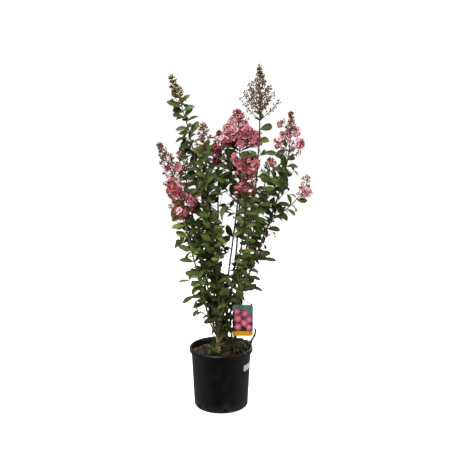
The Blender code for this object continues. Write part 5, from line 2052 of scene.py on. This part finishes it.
# %% World
WORLD_SEEN = 1.05
WORLD_LIGHT = 0.60
SKY = {"From Min": -0.4, "From Max": 0.6, "To Min": 0.20, "To Max": 1.0}     # grey by how high it is
STUDIO = {"From Min": -0.95, "From Max": 0.1, "To Min": 0.05, "To Max": 0.30}     # and by how far back

world = bpy.data.worlds.new("studio")
scene.world = world
world.use_nodes = True
world.node_tree.nodes.clear()
studio = Graph(world.node_tree)
where = studio.node("ShaderNodeTexCoord", output="Generated")
height = studio.node("ShaderNodeSeparateXYZ", inputs={0: where}, output="Z")
depth = studio.node("ShaderNodeSeparateXYZ", inputs={0: where}, output="Y")
sky = studio.node("ShaderNodeMapRange", inputs={"Value": height, **SKY})
sheen = studio.node("ShaderNodeMapRange", inputs={"Value": depth, **STUDIO})
lit = studio.node("ShaderNodeBackground", inputs={"Color": sky, "Strength": WORLD_LIGHT})
mirrored = studio.node("ShaderNodeBackground", inputs={"Strength": sheen})
seen = studio.node("ShaderNodeBackground", inputs={"Color": (1, 1, 1, 1), "Strength": WORLD_SEEN})
glossy = studio.node("ShaderNodeLightPath", output="Is Glossy Ray")
camera_ray = studio.node("ShaderNodeLightPath", output="Is Camera Ray")
unseen = studio.node("ShaderNodeMixShader", inputs={0: glossy, 1: lit, 2: mirrored})
chosen = studio.node("ShaderNodeMixShader", inputs={0: camera_ray, 1: unseen, 2: seen})
studio.feed(studio.tree.nodes.new("ShaderNodeOutputWorld").inputs["Surface"], chosen)
print("world nodes", len(studio.tree.nodes))

# %% [markdown]
# One soft lamp at the upper left gives the shrub its lit and its shaded side. A weak one at the right
# opens the shade, one above lights the upper leaves, and one behind parts the crown from the white.

# %% Lamps
LAMPS = (                        # name, place, aim, size, watts
    ("key", (-1.3, -1.8, 2.9), (0, 0, 0.7), 0.9, 76),
    ("fill", (2.2, -1.6, 1.4), (0, 0, 0.6), 1.6, 22),
    ("top", (0.2, 0.5, 3.2), (0, 0, 0.7), 1.4, 38),
    ("back", (0.9, 2.3, 1.7), (0, 0, 0.8), 1.6, 22),
)
for name, place, aim, size, watts in LAMPS:
    clear_selection()
    bpy.ops.object.light_add(type="AREA", location=place)
    lamp = bpy.context.object
    lamp.name = name
    lamp.data.size = size
    lamp.data.energy = watts
    lamp.rotation_euler = (Vector(aim) - Vector(place)).to_track_quat("-Z", "Y").to_euler()
print("lamps", len(LAMPS))

# %% [markdown]
# ## The dressed size
#
# The two sizes are written side by side, so that they can be compared: the frame's box, and the
# box of the plant as dressed.

# %% Finish
dressed_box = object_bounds()
sizes = {"frame": [list(corner) for corner in cad_box], "dressed": [list(corner) for corner in dressed_box]}
for name, box in sizes.items():
    print(name, [round(high - low, 4) for low, high in zip(*box)])
meshes = [piece.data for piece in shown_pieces() if piece.type == "MESH"]
print("triangles", sum(len(face.vertices) - 2 for mesh in meshes for face in mesh.polygons))
